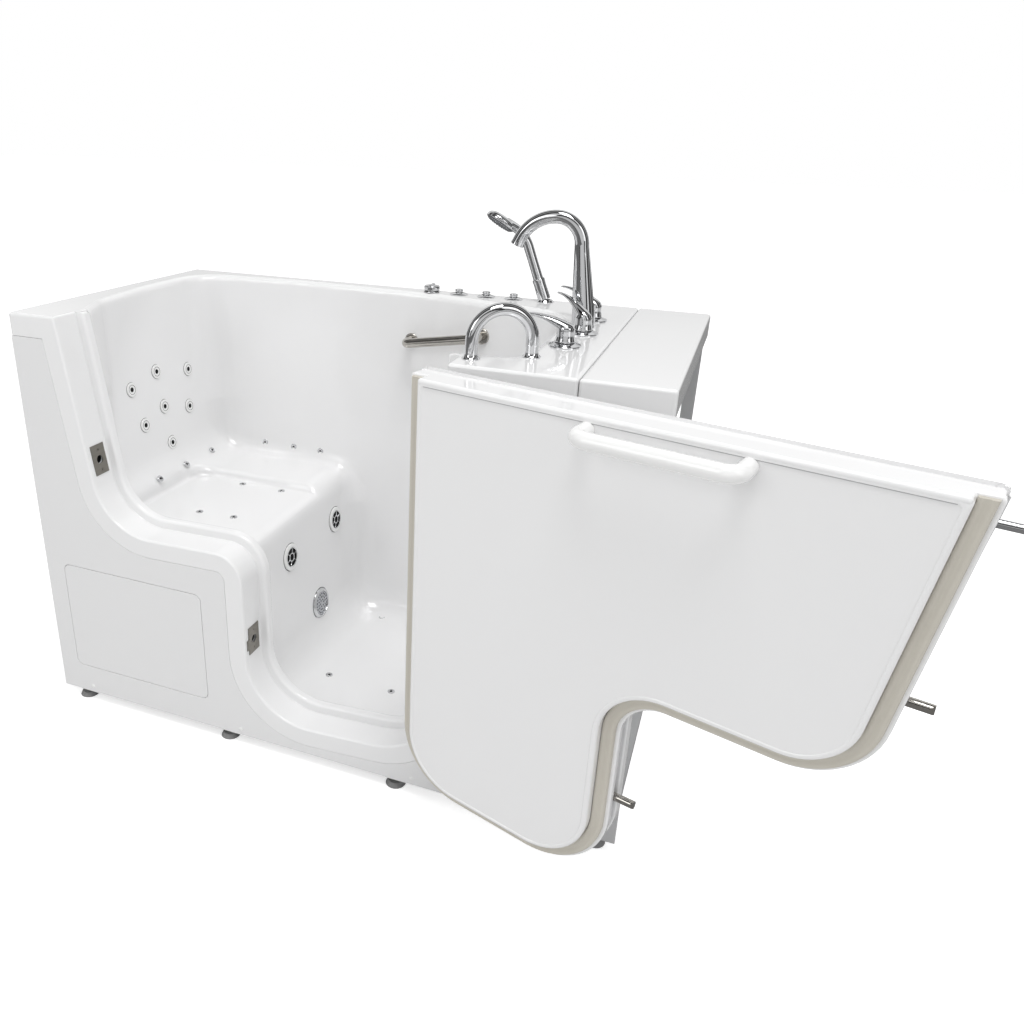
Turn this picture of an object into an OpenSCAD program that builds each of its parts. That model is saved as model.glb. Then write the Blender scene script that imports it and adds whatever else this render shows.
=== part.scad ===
// Walk-in bathtub with an L-shaped door that swings outward, a moulded seat and a tap deck.
// Lengths are millimetres. Every piece is placed from the tub's front left corner, with x along
// the tub, y back from the front face and z up from the floor. centred() then moves that corner
// so that the origin lies on the floor, under the middle of the footprint.

/* [Tub] */
// Length of the moulded tub
tub_l = 1346; // [1340:1:1400]
// Width from the front face to the back edge
tub_w = 762; // [755:1:800]
// Height of the rim above the floor
tub_h = 1067; // [1060:1:1090]
// Thickness of the moulded shell
wall_t = 7; // [5:0.5:8]
// Depth of the fascia turned down under the rim
fascia_h = 54; // [45:1:60]
// Length of the extension deck
ext_l = 178; // [165:1:260]
// Thickness of the skirt panels
panel_t = 5; // [4:0.5:6]
// Gap between a skirt panel and its neighbour
seam = 1.2; // [0.6:0.1:2.4]
// Height of the skirt's lower edge above the floor
skirt_z = 28; // [20:1:36]

/* [Interior] */
// Height of the seat above the floor
seat_z = 535; // [528:1:545]
// Depth of the recess in the seat
recess_d = 20; // [12:1:22]
// Distance from the tub's left end to the seat's front edge
seat_front = 555; // [545:1:565]
// Distance from the tub's left end to the foot of the riser
riser_foot = 600; // [590:1:606]
// Height of the footwell floor
foot_z = 88; // [88:1:96]
// Width of the tap deck, from the tub's right end to the interior at the rim
deck_w = 131; // [130:1:146]
// How far the right wall slopes in from the rim to its foot
right_slope = 55; // [45:1:90]
// Distance from the tub's left end to the backrest at the rim
back_rim = 60; // [56:1:70]
// Radius between the backrest and the seat
seat_back_r = 60; // [50:1:80]

/* [Doorway] */
// Distance from the tub's left end to the doorway at the rim
door_left = 134; // [128:1:140]
// Distance from the doorway's hinge side to the tub's right end
hinge_side = 254; // [246:1:261]
// Height of the step under the door's wing
wing_z = 536; // [530:1:545]
// Distance from the tub's left end to the doorway's leg
leg_x = 597; // [592:1:604]
// Height of the sill at the leg's side
sill_z = 93; // [90:1:100]
// Rise of the sill towards the hinge side
sill_rise = 30; // [20:1:40]
// Depth of the jamb in front of the sealing ridge
jamb_d = 72; // [70:0.5:76]
// Thickness of the sealing ridge, front to back
ridge_t = 26; // [20:1:30]
// How far the sealing ridge reaches in from the jamb
ridge_in = 24; // [20:1:26]
// Width of the flat surround between the doorway and the skirt
surround_w = 48; // [40:1:50]

/* [Door] */
// Angle at which the door stands open
door_open = 165.3; // [150:0.1:170]
// Gap round the door's outer flange
door_gap = 3; // [2.5:0.1:4]
// Thickness of the door's outer flange
flange_t = 25; // [20:1:26]
// How far the raised inner panel stands out behind the seal
panel_rise = 18; // [12:1:22]
// Thickness of the door's moulded skins
skin_t = 7; // [5:0.5:8]
// Thickness of the seal
seal_t = 10; // [8:0.5:10]
// Diameter of the pull handle
pull_d = 30; // [26:1:34]
// Distance between the pull handle's posts
pull_l = 260; // [220:1:280]
// Clearance of the pull handle's grip from the panel
pull_gap = 35; // [30:1:45]

/* [Latch and hinges] */
// Diameter of the latch bolts
bolt_d = 16; // [14:1:18]
// How far a thrown bolt stands out of the door's edge
bolt_out = 38; // [30:1:40]
// Travel of the bolts
bolt_stroke = 40; // [40:1:44]
// Length of the latch lever
lever_l = 148; // [120:1:170]
// Distance from the rim down to the lever's spindle
spindle_drop = 77; // [72:1:87]
// Height of the bolt in the wing
bolt_top_z = 715; // [705:1:730]
// Height of the bolt in the leg
bolt_low_z = 306; // [296:1:316]
// Diameter of the hinge pins
hinge_pin_d = 8; // [6:0.5:9]
// Radial clearance of a pin or a bolt that moves in a bore
running_gap = 0.05; // [0.03:0.01:0.08]

/* [Deck fittings] */
// Diameter of the tap escutcheons
tap_d = 70; // [60:1:74]
// Height of the spout's arch above the deck
spout_h = 239; // [220:1:260]
// Diameter of the spout's arch
spout_d = 30; // [26:1:32]
// Diameter of the deck grab bar
deck_bar_d = 26; // [24:1:30]
// Diameter of the wall grab bar
wall_bar_d = 26; // [24:1:30]
// Diameter of the push buttons
button_d = 22; // [20:1:26]
// Travel of the push buttons
button_travel = 4; // [2:0.5:4]

/* [Stand] */
// Width of the stand's square steel tubes
tube_w = 30; // [25:1:32]
// Wall of the stand's tubes
tube_t = 2; // [1.5:0.5:3]
// Diameter of the levelling feet
foot_d = 50; // [40:1:60]

/* [Hidden] */
$fn = 48;
over = 1;            // how far a cut runs past the face that it opens
touch_gap = 0.3;     // clearance between pieces that move past each other
arc_steps = 7;       // straight pieces in each rounded corner of an outline

total_l = tub_l + ext_l;
right_rim = tub_l - deck_w;
foot_right = right_rim - right_slope;
door_right = tub_l - hinge_side;
spindle_z = tub_h - spindle_drop;

// --- Outlines ------------------------------------------------------------------------------------

function unit(v) = v / norm(v);
function left_of(v) = [-v[1], v[0]];
function turned(v, a) = [v[0] * cos(a) - v[1] * sin(a), v[0] * sin(a) + v[1] * cos(a)];
function before(p, i) = p[(i + len(p) - 1) % len(p)];
function after(p, i) = p[(i + 1) % len(p)];
function turn_at(p, i) =
    let(u = unit(p[i] - before(p, i)), w = unit(after(p, i) - p[i]))
    atan2(cross(u, w), u * w);

// A corner of an outline, moved so that both of its edges lie d further inside
function inset_corner(p, i, d) =
    let(u = unit(p[i] - before(p, i)), w = unit(after(p, i) - p[i]),
        on_u = p[i] + left_of(u) * d, on_w = p[i] + left_of(w) * d)
    on_u + u * (cross(on_w - on_u, w) / cross(u, w));

// The points of one corner, rounded to radius r
function corner_arc(p, i, r) =
    let(u = unit(p[i] - before(p, i)), turn = turn_at(p, i),
        start = p[i] - u * r * tan(abs(turn) / 2),
        centre = start + left_of(u) * r * sign(turn))
    [for (k = [0:arc_steps]) centre + turned(start - centre, turn * k / arc_steps)];

function rounded(p, r) =
    [for (i = [0:len(p) - 1]) each r[i] > 0 ? corner_arc(p, i, r[i]) : [p[i]]];

// A rounded outline, counterclockwise, drawn in by d or let out where d is negative
function inset_outline(p, r, d) =
    rounded([for (i = [0:len(p) - 1]) inset_corner(p, i, d)],
        [for (i = [0:len(p) - 1]) r[i] > 0 ? max(r[i] - sign(turn_at(p, i)) * d, over) : 0]);

// --- Placing -------------------------------------------------------------------------------------

module centred() translate([-total_l / 2, -tub_w / 2, 0]) children();

// An outline in x and z, from y0 to y1
module slab(y0, y1) translate([0, y1, 0]) rotate([90, 0, 0]) linear_extrude(y1 - y0) children();

// An outline in y and z, from x0 to x1
module across(x0, x1) translate([x0, 0, 0]) rotate([90, 0, 90]) linear_extrude(x1 - x0) children();

module box(low, high) translate(low) cube(high - low);

module rod(a, b, r, r_end = undef) {
    run = b - a;
    translate(a)
        rotate([0, acos(run[2] / norm(run)), atan2(run[1], run[0])])
            cylinder(h = norm(run), r1 = r, r2 = is_undef(r_end) ? r : r_end);
}

module ring(r_out, r_in, h) {
    difference() {
        cylinder(h = h, r = r_out);
        translate([0, 0, -over]) cylinder(h = h + 2 * over, r = r_in);
    }
}

// A quarter or more of a round tube, bent in the xz plane about the origin
module bend(bend_r, tube_r, from, sweep)
    rotate([90, 0, 0]) rotate([0, 0, from])
        rotate_extrude(angle = sweep) translate([bend_r, 0]) circle(r = tube_r);

// --- The room inside the tub ---------------------------------------------------------------------

above = tub_h + 50;                        // the outlines run on above the rim
back_lean = 0.12;                          // backrest, run for each unit of height
function back_x(z) = back_rim + back_lean * (tub_h - z);
right_lean = (right_rim - foot_right) / (tub_h - foot_z);
function right_x(z) = foot_right + right_lean * (z - foot_z);
riser_lean = (riser_foot - seat_front) / (seat_z - foot_z);
function riser_x(z) = seat_front + riser_lean * (seat_z - z);

long_section = [
    [back_x(seat_z), seat_z], [seat_front, seat_z], [riser_foot, foot_z],
    [foot_right, foot_z], [right_x(above), above], [back_x(above), above]
];
long_radii = [seat_back_r, 35, 70, 70, 0, 0];

wall_foot_y = tub_w - 112;                 // back wall at the floor
wall_mid_y = tub_w - 90;                   // back wall just below the seat
wall_mid_z = 500;
wall_lean = 44 / 567;
function wall_y(z) = wall_mid_y + wall_lean * (z - wall_mid_z);
cross_section = [
    [jamb_d - 12, foot_z], [wall_foot_y, foot_z], [wall_mid_y, wall_mid_z],
    [wall_y(above), above], [jamb_d - 12, above]
];
cross_radii = [0, 50, 300, 0, 0];

inner_front = jamb_d + ridge_t;
back_bend = [tub_l - 546, tub_w - 68];     // where the back wall turns towards the taps
back_corner = [right_rim - 10, tub_w - 162];
back_left = [400, tub_w - 50];
plan = [
    [door_left + 16, inner_front], [door_right - 7, inner_front], [right_rim + 7, inner_front + 14],
    back_corner, back_bend, back_left, [70, tub_w - 72], [52, 500], [90, inner_front + 127]
];
plan_radii = [0, 0, 45, 70, 250, 300, 95, 200, 90];

// A place on the width of the interior: 0 at the door side, 1 at the foot of the back wall
function y_share(share) = inner_front + share * (wall_foot_y - inner_front);

left_slope = 0.139;
door_corners_at = function (top) [
    [door_left + left_slope * (tub_h - top), top],
    [door_left + left_slope * (tub_h - wing_z), wing_z],
    [leg_x, wing_z + 9], [leg_x, sill_z], [door_right, sill_z + sill_rise], [door_right, top]
];
door_radii = [0, 145, 72, 160, 165, 0];
function jamb_x(z) = door_left + left_slope * (tub_h - z);

// The doorway's outline, drawn in by d, with its upper edge at top
function door_outline(d, top) = inset_outline(door_corners_at(top + d), door_radii, d);

recess_z = seat_z - recess_d;
recess_x = 150;
recess_y = y_share(0.701);
recess_r = 60;

module seat_recess(grow)
    translate([0, 0, recess_z - grow])
        linear_extrude(recess_d + grow + over)
            polygon(inset_outline(
                [[recess_x, inner_front], [seat_front + 65, inner_front],
                    [seat_front + 65, recess_y], [recess_x, recess_y]],
                [0, 0, 0, recess_r], -grow));

module interior(grow) {
    intersection() {
        slab(-over, tub_w + over) polygon(inset_outline(long_section, long_radii, -grow));
        linear_extrude(above + 2 * over) polygon(inset_outline(plan, plan_radii, -grow));
        across(-over, tub_l + over) polygon(inset_outline(cross_section, cross_radii, -grow));
    }
}

module cavity(grow) {
    interior(grow);
    seat_recess(grow);
    slab(-over, jamb_d + grow) polygon(door_outline(-grow, tub_h + over));
    slab(jamb_d - grow, inner_front + 2 * over) polygon(door_outline(ridge_in - grow, tub_h + over));
}

// --- Places of the fittings ----------------------------------------------------------------------

back_tilt = atan(back_lean);
back_jet_places = [
    [y_share(0.355), 813], [y_share(0.563), 836], [y_share(0.822), 810], [y_share(0.576), 734],
    [y_share(0.779), 705], [y_share(0.404), 706], [y_share(0.583), 626]
];
jet_flange_r = 20;
jet_barrel_r = 10;
riser_jet_places = [[y_share(0.83), 408], [y_share(0.344), 408]];
riser_jet_r = 38;
riser_barrel_r = 14;
suction_y = y_share(0.572);
suction_z = 205;
suction_r = 45;
suction_barrel_r = 22;

air_r = 10;
air_barrel_r = 6;
fillet_jet_y = [y_share(0.375), y_share(0.603), y_share(0.842)];
recess_jet_places = [
    [319, y_share(0.652)], [319, y_share(0.259)], [421, y_share(0.272)], [447, y_share(0.652)]
];
wall_jet_places = [[268, 566], [369, 566], [461, 566]];

drain_x = foot_right - 110;
drain_y = y_share(0.42);
floor_jet_places = [
    [riser_foot + 108, y_share(0.888)], [riser_foot + 96, y_share(0.277)], [drain_x - 168, y_share(0.272)]
];
drain_barrel_r = 24;
overflow_y = 350;
overflow_z = tub_h - 117;
overflow_barrel_r = 15;

tap_places = [[tub_l - 81, 250], [tub_l - 71, 386], [tub_l - 79, 545]];
stem_r = 5;
stem_hole_r = 12;
spout_place = [tub_l - 86, 466];
spout_stud_r = 10;
shower_place = [tub_l - 238, tub_w - 34];
shower_tilt = 21.6;
shower_r = 12;
back_deck_y = tub_w - 38;                  // middle of the deck behind the interior
knob_place = [tub_l - 555, back_deck_y];
button_places = [[tub_l - 476, back_deck_y], [tub_l - 399, back_deck_y], [tub_l - 323, back_deck_y]];
button_hole_r = button_d / 2 + 2;
button_body_r = button_d / 2 + 6;

module on_backrest(y, z) translate([back_x(z), y, z]) rotate([0, 90 - back_tilt, 0]) children();

module on_riser(y, z) translate([riser_x(z), y, z]) rotate([0, 90, 0]) children();

module on_right_wall(y, z)
    translate([right_x(z), y, z]) rotate([0, atan(right_lean) - 90, 0]) children();

module on_back_wall(x, z) translate([x, wall_y(z), z]) rotate([90 - atan(wall_lean), 0, 0]) children();

fillet_x = back_x(seat_z + seat_back_r) + seat_back_r / cos(back_tilt) - seat_back_r * cos(45);
fillet_z = seat_z + seat_back_r - seat_back_r * sin(45);
fillet_lift = 0.9;                         // a flat flange bridges the curve under it

module on_seat_fillet(y)
    translate([fillet_x, y, fillet_z]) rotate([0, 45, 0]) translate([0, 0, fillet_lift]) children();

module on_deck(p) translate([p[0], p[1], tub_h]) children();

module drill(r) translate([0, 0, -3 * wall_t]) cylinder(h = 4 * wall_t, r = r);

module barrel_holes() {
    for (p = back_jet_places) on_backrest(p[0], p[1]) drill(jet_barrel_r + touch_gap);
    for (p = riser_jet_places) on_riser(p[0], p[1]) drill(riser_barrel_r + touch_gap);
    on_riser(suction_y, suction_z) drill(suction_barrel_r + touch_gap);
    for (y = fillet_jet_y) on_seat_fillet(y) drill(air_barrel_r + touch_gap);
    for (p = recess_jet_places) translate([p[0], p[1], recess_z]) drill(air_barrel_r + touch_gap);
    for (p = wall_jet_places) on_back_wall(p[0], p[1]) drill(air_barrel_r + touch_gap);
    for (p = floor_jet_places) translate([p[0], p[1], foot_z]) drill(air_barrel_r + touch_gap);
    translate([drain_x, drain_y, foot_z]) drill(drain_barrel_r + touch_gap);
    on_right_wall(overflow_y, overflow_z) drill(overflow_barrel_r + touch_gap);
}

module deck_holes() {
    for (p = tap_places) on_deck(p) drill(stem_hole_r);
    for (p = button_places) on_deck(p) drill(button_hole_r);
    on_deck(spout_place) drill(spout_stud_r + touch_gap);
    on_deck(knob_place) drill(stem_hole_r);
    on_deck(shower_place) rotate([0, -shower_tilt, 0]) drill(shower_r + touch_gap);
}

bolt_y = 38;
strike_hole_r = bolt_d / 2 + 2;

module bolt_way(x, z, r)
    translate([x - 3 * wall_t, bolt_y, z]) rotate([0, 90, 0]) cylinder(h = 6 * wall_t, r = r);

// --- Tub -----------------------------------------------------------------------------------------

module tub_shell() color("whitesmoke") centred() {
    difference() {
        union() {
            box([0, 0, tub_h - fascia_h], [tub_l, tub_w, tub_h]);
            intersection() {
                cavity(wall_t);
                cube([tub_l, tub_w, tub_h]);
            }
            slab(0, wall_t) polygon(door_outline(-surround_w, tub_h - over));
        }
        cavity(0);
        difference() {
            box([wall_t, wall_t, tub_h - fascia_h - over], [tub_l - wall_t, tub_w - wall_t, tub_h - wall_t]);
            cavity(wall_t);
        }
        barrel_holes();
        deck_holes();
        bolt_way(jamb_x(bolt_top_z), bolt_top_z, strike_hole_r + 2);
        bolt_way(leg_x, bolt_low_z, strike_hole_r + 2);
    }
}

rail_z = foot_z - wall_t - tube_w;         // underside of the bottom rails
rail_y = wall_t + 3;                       // face of the front rail
back_rail_y = tub_w - rail_y - tube_w;
upright_x = [wall_t + 5, tub_l - wall_t - tube_w, total_l - wall_t - tube_w];
panel_top = tub_h - fascia_h - seam;

hatch_low = [57, 112];
hatch_high = [474, 416];
hatch_r = 18;
hatch_ledge = 14;

function box_outline(low, high) = [low, [high[0], low[1]], high, [low[0], high[1]]];

hatch_radii = [for (i = [0:3]) hatch_r];

module hatch_shape(d) polygon(inset_outline(box_outline(hatch_low, hatch_high), hatch_radii, d));

// Pads behind a skirt panel, which stand it off the stand's uprights
module panel_pads(places)
    for (x = places)
        box([x, panel_t, rail_z + 2 * tube_w], [x + tube_w, rail_y, panel_top - tube_w]);

module front_panel() color("whitesmoke") centred() {
    difference() {
        box([0, 0, skirt_z], [tub_l, panel_t, panel_top]);
        slab(-over, panel_t + over) polygon(door_outline(-surround_w - seam, tub_h));
        slab(-over, panel_t + over) hatch_shape(-seam);
    }
    slab(panel_t, panel_t + 3)
        difference() {
            hatch_shape(-hatch_ledge);
            hatch_shape(hatch_ledge);
        }
    panel_pads([upright_x[0], upright_x[1]]);
}

module access_hatch() color("whitesmoke") centred() slab(0, panel_t) hatch_shape(0);

screw_places = [97, 568, door_right - 52];
screw_z = skirt_z + 19;
screw_r = 6;

module panel_screws() color("gainsboro") centred()
    for (x = screw_places)
        translate([x, 0, screw_z]) rotate([90, 0, 0]) cylinder(h = 2, r = screw_r);

ext_x = tub_l + seam;

module extension_deck() color("whitesmoke") centred()
    difference() {
        box([ext_x, 0, tub_h - fascia_h], [total_l, tub_w, tub_h]);
        box([ext_x + wall_t, wall_t, tub_h - fascia_h - over],
            [total_l - wall_t, tub_w - wall_t, tub_h - wall_t]);
    }

module extension_front() color("gainsboro") centred() {
    box([ext_x, 0, skirt_z], [total_l, panel_t, panel_top]);
    panel_pads([upright_x[2]]);
}

// --- Stand ---------------------------------------------------------------------------------------

footwell_rail_x = drain_x - 70;
cross_x = [
    upright_x[0], 330, total_l / 2 - tube_w / 2, footwell_rail_x, upright_x[1], upright_x[2]
];
feet_x = [upright_x[0] + 48, 520, footwell_rail_x + 10, upright_x[1] - 20, upright_x[2] - 10];
feet_y = [rail_y + tube_w / 2, back_rail_y + tube_w / 2];
stud_r = 6;
pad_h = 12;
nut_h = 10;
nut_r = 11;

module square_tube_x(low, x_end)
    translate(low) difference() {
        cube([x_end - low[0], tube_w, tube_w]);
        translate([-over, tube_t, tube_t])
            cube([x_end - low[0] + 2 * over, tube_w - 2 * tube_t, tube_w - 2 * tube_t]);
    }

module square_tube_y(low, y_end)
    translate(low) difference() {
        cube([tube_w, y_end - low[1], tube_w]);
        translate([tube_t, -over, tube_t])
            cube([tube_w - 2 * tube_t, y_end - low[1] + 2 * over, tube_w - 2 * tube_t]);
    }

module square_tube_z(low, z_end)
    translate(low) difference() {
        cube([tube_w, tube_w, z_end - low[2]]);
        translate([tube_t, tube_t, -over])
            cube([tube_w - 2 * tube_t, tube_w - 2 * tube_t, z_end - low[2] + 2 * over]);
    }

module stud_hole(x, y)
    translate([x, y, rail_z - over]) cylinder(h = tube_t + 2 * over, r = stud_r + touch_gap);

module frame_long_rails() color("dimgray") centred()
    for (y = [rail_y, back_rail_y])
        difference() {
            square_tube_x([upright_x[0], y, rail_z], total_l - wall_t);
            for (x = feet_x) stud_hole(x, y + tube_w / 2);
        }

module frame_cross_rails() color("dimgray") centred()
    for (x = cross_x)
        difference() {
            square_tube_y([x, rail_y + tube_w, rail_z], back_rail_y);
            stud_hole(total_l / 2, tub_w / 2);
        }

module frame_uprights() color("dimgray") centred()
    for (x = upright_x)
        for (y = [rail_y, back_rail_y])
            square_tube_z([x, y, rail_z + tube_w], tub_h - wall_t);

module foot(x, y)
    translate([x, y, 0]) {
        cylinder(h = pad_h, r1 = foot_d / 2, r2 = foot_d / 2 - 6);
        cylinder(h = rail_z + tube_w / 2, r = stud_r);
    }

module levelling_feet() color("gray") centred()
    for (x = feet_x)
        for (y = feet_y)
            foot(x, y);

module locknut(x, y)
    translate([x, y, rail_z - nut_h])
        difference() {
            cylinder(h = nut_h, r = nut_r, $fn = 6);
            translate([0, 0, -over]) cylinder(h = nut_h + 2 * over, r = stud_r + running_gap);
        }

module foot_locknuts() color("silver") centred() {
    for (x = feet_x)
        for (y = feet_y)
            locknut(x, y);
    locknut(total_l / 2, tub_w / 2);
}

module centre_foot() color("gray") centred() foot(total_l / 2, tub_w / 2);

// --- Pump, blower and pipes under the seat -------------------------------------------------------

tray_t = 6;
tray_z = foot_z - wall_t;
tray_top = tray_z + tray_t;
tray_x = [60, 560];
tray_inset = rail_y + tube_w / 2;          // the tray's edges lie on the middle of the long rails
pump_r = 75;
pump_x = 440;
pump_w = 60;
motor_r = 58;
motor_l = 190;
inlet_r = 28;
fitting_reach = 30;                        // length of a barrel behind the shell
suction_end = riser_x(suction_z) - fitting_reach;
socket_l = 10;

module equipment_tray() color("darkgray") centred()
    box([tray_x[0], tray_inset, tray_z], [tray_x[1], tub_w - tray_inset, tray_top]);

module water_pump() color("dimgray") centred()
    difference() {
        union() {
            translate([pump_x, suction_y, suction_z]) rotate([0, 90, 0]) cylinder(h = pump_w, r = pump_r);
            box([pump_x + 5, suction_y - 50, tray_top],
                [pump_x + pump_w - 5, suction_y + 50, suction_z - pump_r / 2]);
            translate([pump_x, suction_y, suction_z]) rotate([0, 90, 0])
                cylinder(h = suction_end + socket_l - pump_x, r = inlet_r);
        }
        translate([pump_x + pump_w, suction_y, suction_z]) rotate([0, 90, 0])
            cylinder(h = suction_end + socket_l - pump_x, r = suction_barrel_r + touch_gap);
    }

module pump_motor() color("black") centred() {
    translate([pump_x - motor_l, suction_y, suction_z]) rotate([0, 90, 0])
        cylinder(h = motor_l, r = motor_r);
    box([pump_x - motor_l + 40, suction_y - 45, tray_top],
        [pump_x - 40, suction_y + 45, suction_z - motor_r / 2]);
}

manifold_z = riser_jet_places[0][1];
manifold_x = pump_x + pump_w / 2;
manifold_r = 18;
riser_jet_end = riser_x(manifold_z) - fitting_reach;
stub_r = riser_barrel_r + 5;

module water_manifold() color("white") centred()
    difference() {
        union() {
            rod([manifold_x, suction_y, suction_z + pump_r],
                [manifold_x, suction_y, manifold_z], manifold_r);
            rod([manifold_x, riser_jet_places[1][0] - 30, manifold_z],
                [manifold_x, riser_jet_places[0][0] + 30, manifold_z], manifold_r);
            for (p = riser_jet_places)
                rod([manifold_x, p[0], manifold_z], [riser_jet_end + socket_l, p[0], manifold_z], stub_r);
        }
        for (p = riser_jet_places)
            rod([riser_jet_end - over, p[0], manifold_z],
                [riser_jet_end + socket_l + over, p[0], manifold_z], riser_barrel_r + touch_gap);
    }

blower_place = [370, 190];
blower_r = 50;
blower_h = 110;
air_pipe_r = 14;
air_pipe_z = recess_z - wall_t - air_pipe_r;

module air_blower() color("dimgray") centred()
    translate([blower_place[0], blower_place[1], tray_top]) cylinder(h = blower_h, r = blower_r);

module air_manifold() color("white") centred() {
    rod([blower_place[0], blower_place[1], tray_top + blower_h],
        [blower_place[0], blower_place[1], air_pipe_z], air_pipe_r);
    rod([blower_place[0], blower_place[1] - air_pipe_r, air_pipe_z],
        [blower_place[0], tub_w - 140, air_pipe_z], air_pipe_r);
}

heater_x = tray_x[0] + 90;
heater_y = [y_share(0.257), y_share(0.764)];
heater_z = tray_top + 45;
heater_r = 32;
heater_foot = [60, 20, 30];                // size of each of the heater's two feet

module inline_heater() color("silver") centred() {
    rod([heater_x, heater_y[0], heater_z], [heater_x, heater_y[1], heater_z], heater_r);
    for (y = [heater_y[0] + heater_foot[2], heater_y[1] - heater_foot[0] + 10])
        translate([heater_x - heater_foot[0] / 2, y, tray_top]) cube(heater_foot);
}

control_box_size = [180, 120, 120];

module control_box() color("gainsboro") centred()
    translate([tray_x[0] + 20, tub_w - 202, tray_top]) cube(control_box_size);

// --- Drain and overflow --------------------------------------------------------------------------

drain_pipe_z = 15;
drain_joint_z = 55;
drain_bore_r = 18;
waste_bore_r = 20;

module floor_drain() color("silver") centred()
    translate([drain_x, drain_y, 0])
        difference() {
            union() {
                translate([0, 0, foot_z]) cylinder(h = 3, r = 35);
                translate([0, 0, drain_joint_z]) cylinder(h = foot_z - drain_joint_z, r = drain_barrel_r);
            }
            translate([0, 0, drain_joint_z - over]) cylinder(h = foot_z, r = drain_bore_r);
        }

module waste_pipe() color("white") centred()
    translate([drain_x, drain_y, drain_pipe_z])
        ring(drain_barrel_r, waste_bore_r, drain_joint_z - drain_pipe_z);

module overflow_plate() color("silver") centred()
    on_right_wall(overflow_y, overflow_z) {
        cylinder(h = 12, r1 = 36, r2 = 32);
        translate([0, 0, -fitting_reach]) cylinder(h = fitting_reach, r = overflow_barrel_r);
    }

// --- Jets ----------------------------------------------------------------------------------------

module jet(flange_r, flange_h, barrel_r, reach, nozzle_r)
    difference() {
        union() {
            cylinder(h = flange_h, r1 = flange_r, r2 = flange_r - flange_h / 2);
            translate([0, 0, -reach]) cylinder(h = reach, r = barrel_r);
        }
        translate([0, 0, -flange_h]) cylinder(h = 2 * flange_h + over, r = nozzle_r);
    }

module back_jets() color("white") centred()
    for (p = back_jet_places)
        on_backrest(p[0], p[1]) jet(jet_flange_r, 4, jet_barrel_r, 3 * wall_t, 5);

// A riser fitting: its flange lies on the sloping riser, its barrel runs level to the pipes
module riser_fitting(y, z, flange_r, flange_h, barrel_r, nozzle_r)
    difference() {
        union() {
            translate([riser_x(z), y, z]) rotate([0, 90 - atan(riser_lean), 0])
                cylinder(h = flange_h, r1 = flange_r, r2 = flange_r - flange_h / 2);
            on_riser(y, z) translate([0, 0, -fitting_reach])
                cylinder(h = fitting_reach + flange_h / 2, r = barrel_r);
        }
        on_riser(y, z) translate([0, 0, -3 * flange_h]) cylinder(h = 6 * flange_h, r = nozzle_r);
    }

module riser_jets() color("white") centred()
    for (p = riser_jet_places)
        riser_fitting(p[0], p[1], riser_jet_r, 5, riser_barrel_r, 7);

module suction_cover() color("silver") centred()
    riser_fitting(suction_y, suction_z, suction_r, 7, suction_barrel_r, 4);

module air_jet() jet(air_r, 2, air_barrel_r, 3 * wall_t, 2);

module seat_air_jets() color("silver") centred() {
    for (y = fillet_jet_y) on_seat_fillet(y) air_jet();
    for (p = recess_jet_places) translate([p[0], p[1], recess_z]) air_jet();
    for (p = wall_jet_places) on_back_wall(p[0], p[1]) air_jet();
}

module floor_air_jets() color("silver") centred()
    for (p = floor_jet_places)
        translate([p[0], p[1], foot_z]) jet(air_r, 2, air_barrel_r, wall_t, 2);

// --- Strike plates -------------------------------------------------------------------------------

strike_w = 46;
strike_h = 75;
strike_t = 2;
strike_screw_r = 3;
strike_screw_z = strike_h / 2 - 12;

// A plate on the jamb, in its own frame: +x faces into the doorway
module strike()
    difference() {
        box([0, -strike_w / 2, -strike_h / 2], [strike_t, strike_w / 2, strike_h / 2]);
        rotate([0, 90, 0]) translate([0, 0, -over]) cylinder(h = strike_t + 2 * over, r = strike_hole_r);
        for (z = [-strike_screw_z, strike_screw_z])
            translate([-over, 0, z]) rotate([0, 90, 0])
                cylinder(h = strike_t + 2 * over, r = strike_screw_r + touch_gap);
    }

module on_upper_jamb()
    translate([jamb_x(bolt_top_z), bolt_y, bolt_top_z]) rotate([0, -atan(left_slope), 0]) children();

module on_lower_jamb() translate([leg_x, bolt_y, bolt_low_z]) children();

module strike_plate_upper() color("silver") centred() on_upper_jamb() strike();

module strike_plate_lower() color("silver") centred() on_lower_jamb() strike();

module strike_pair()
    for (z = [-strike_screw_z, strike_screw_z])
        translate([0, 0, z]) rotate([0, 90, 0]) cylinder(h = strike_t, r = strike_screw_r);

module strike_screws() color("gray") centred() {
    on_upper_jamb() strike_pair();
    on_lower_jamb() strike_pair();
}

// --- Grab bars -----------------------------------------------------------------------------------

// x and z where the wall grab bar meets the back wall
bar_places = [[tub_l - 601, tub_h - 133], [tub_l - 385, tub_h - 92]];
bar_stand = 48;
bar_flange_r = 30;
bar_flange_t = 5;
bend_run = unit(back_corner - back_bend);
flat_run = unit(back_bend - back_left);

// The back wall's plan at x, and its direction there
function back_run(x) = x > back_bend[0] ? bend_run : flat_run;
function back_y(x) = back_bend[1] + (x - back_bend[0]) * back_run(x)[1] / back_run(x)[0];
function inward(x) = [back_run(x)[1], -back_run(x)[0]];
function bar_wall(i) = [bar_places[i][0], back_y(bar_places[i][0]), bar_places[i][1]];
function bar_end(i, d) = bar_wall(i) + [each inward(bar_places[i][0]) * d, 0];
bar_run = unit(bar_end(1, bar_stand) - bar_end(0, bar_stand));
post_step = 1;                             // a grab bar's posts are this much slimmer than its grip

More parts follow.
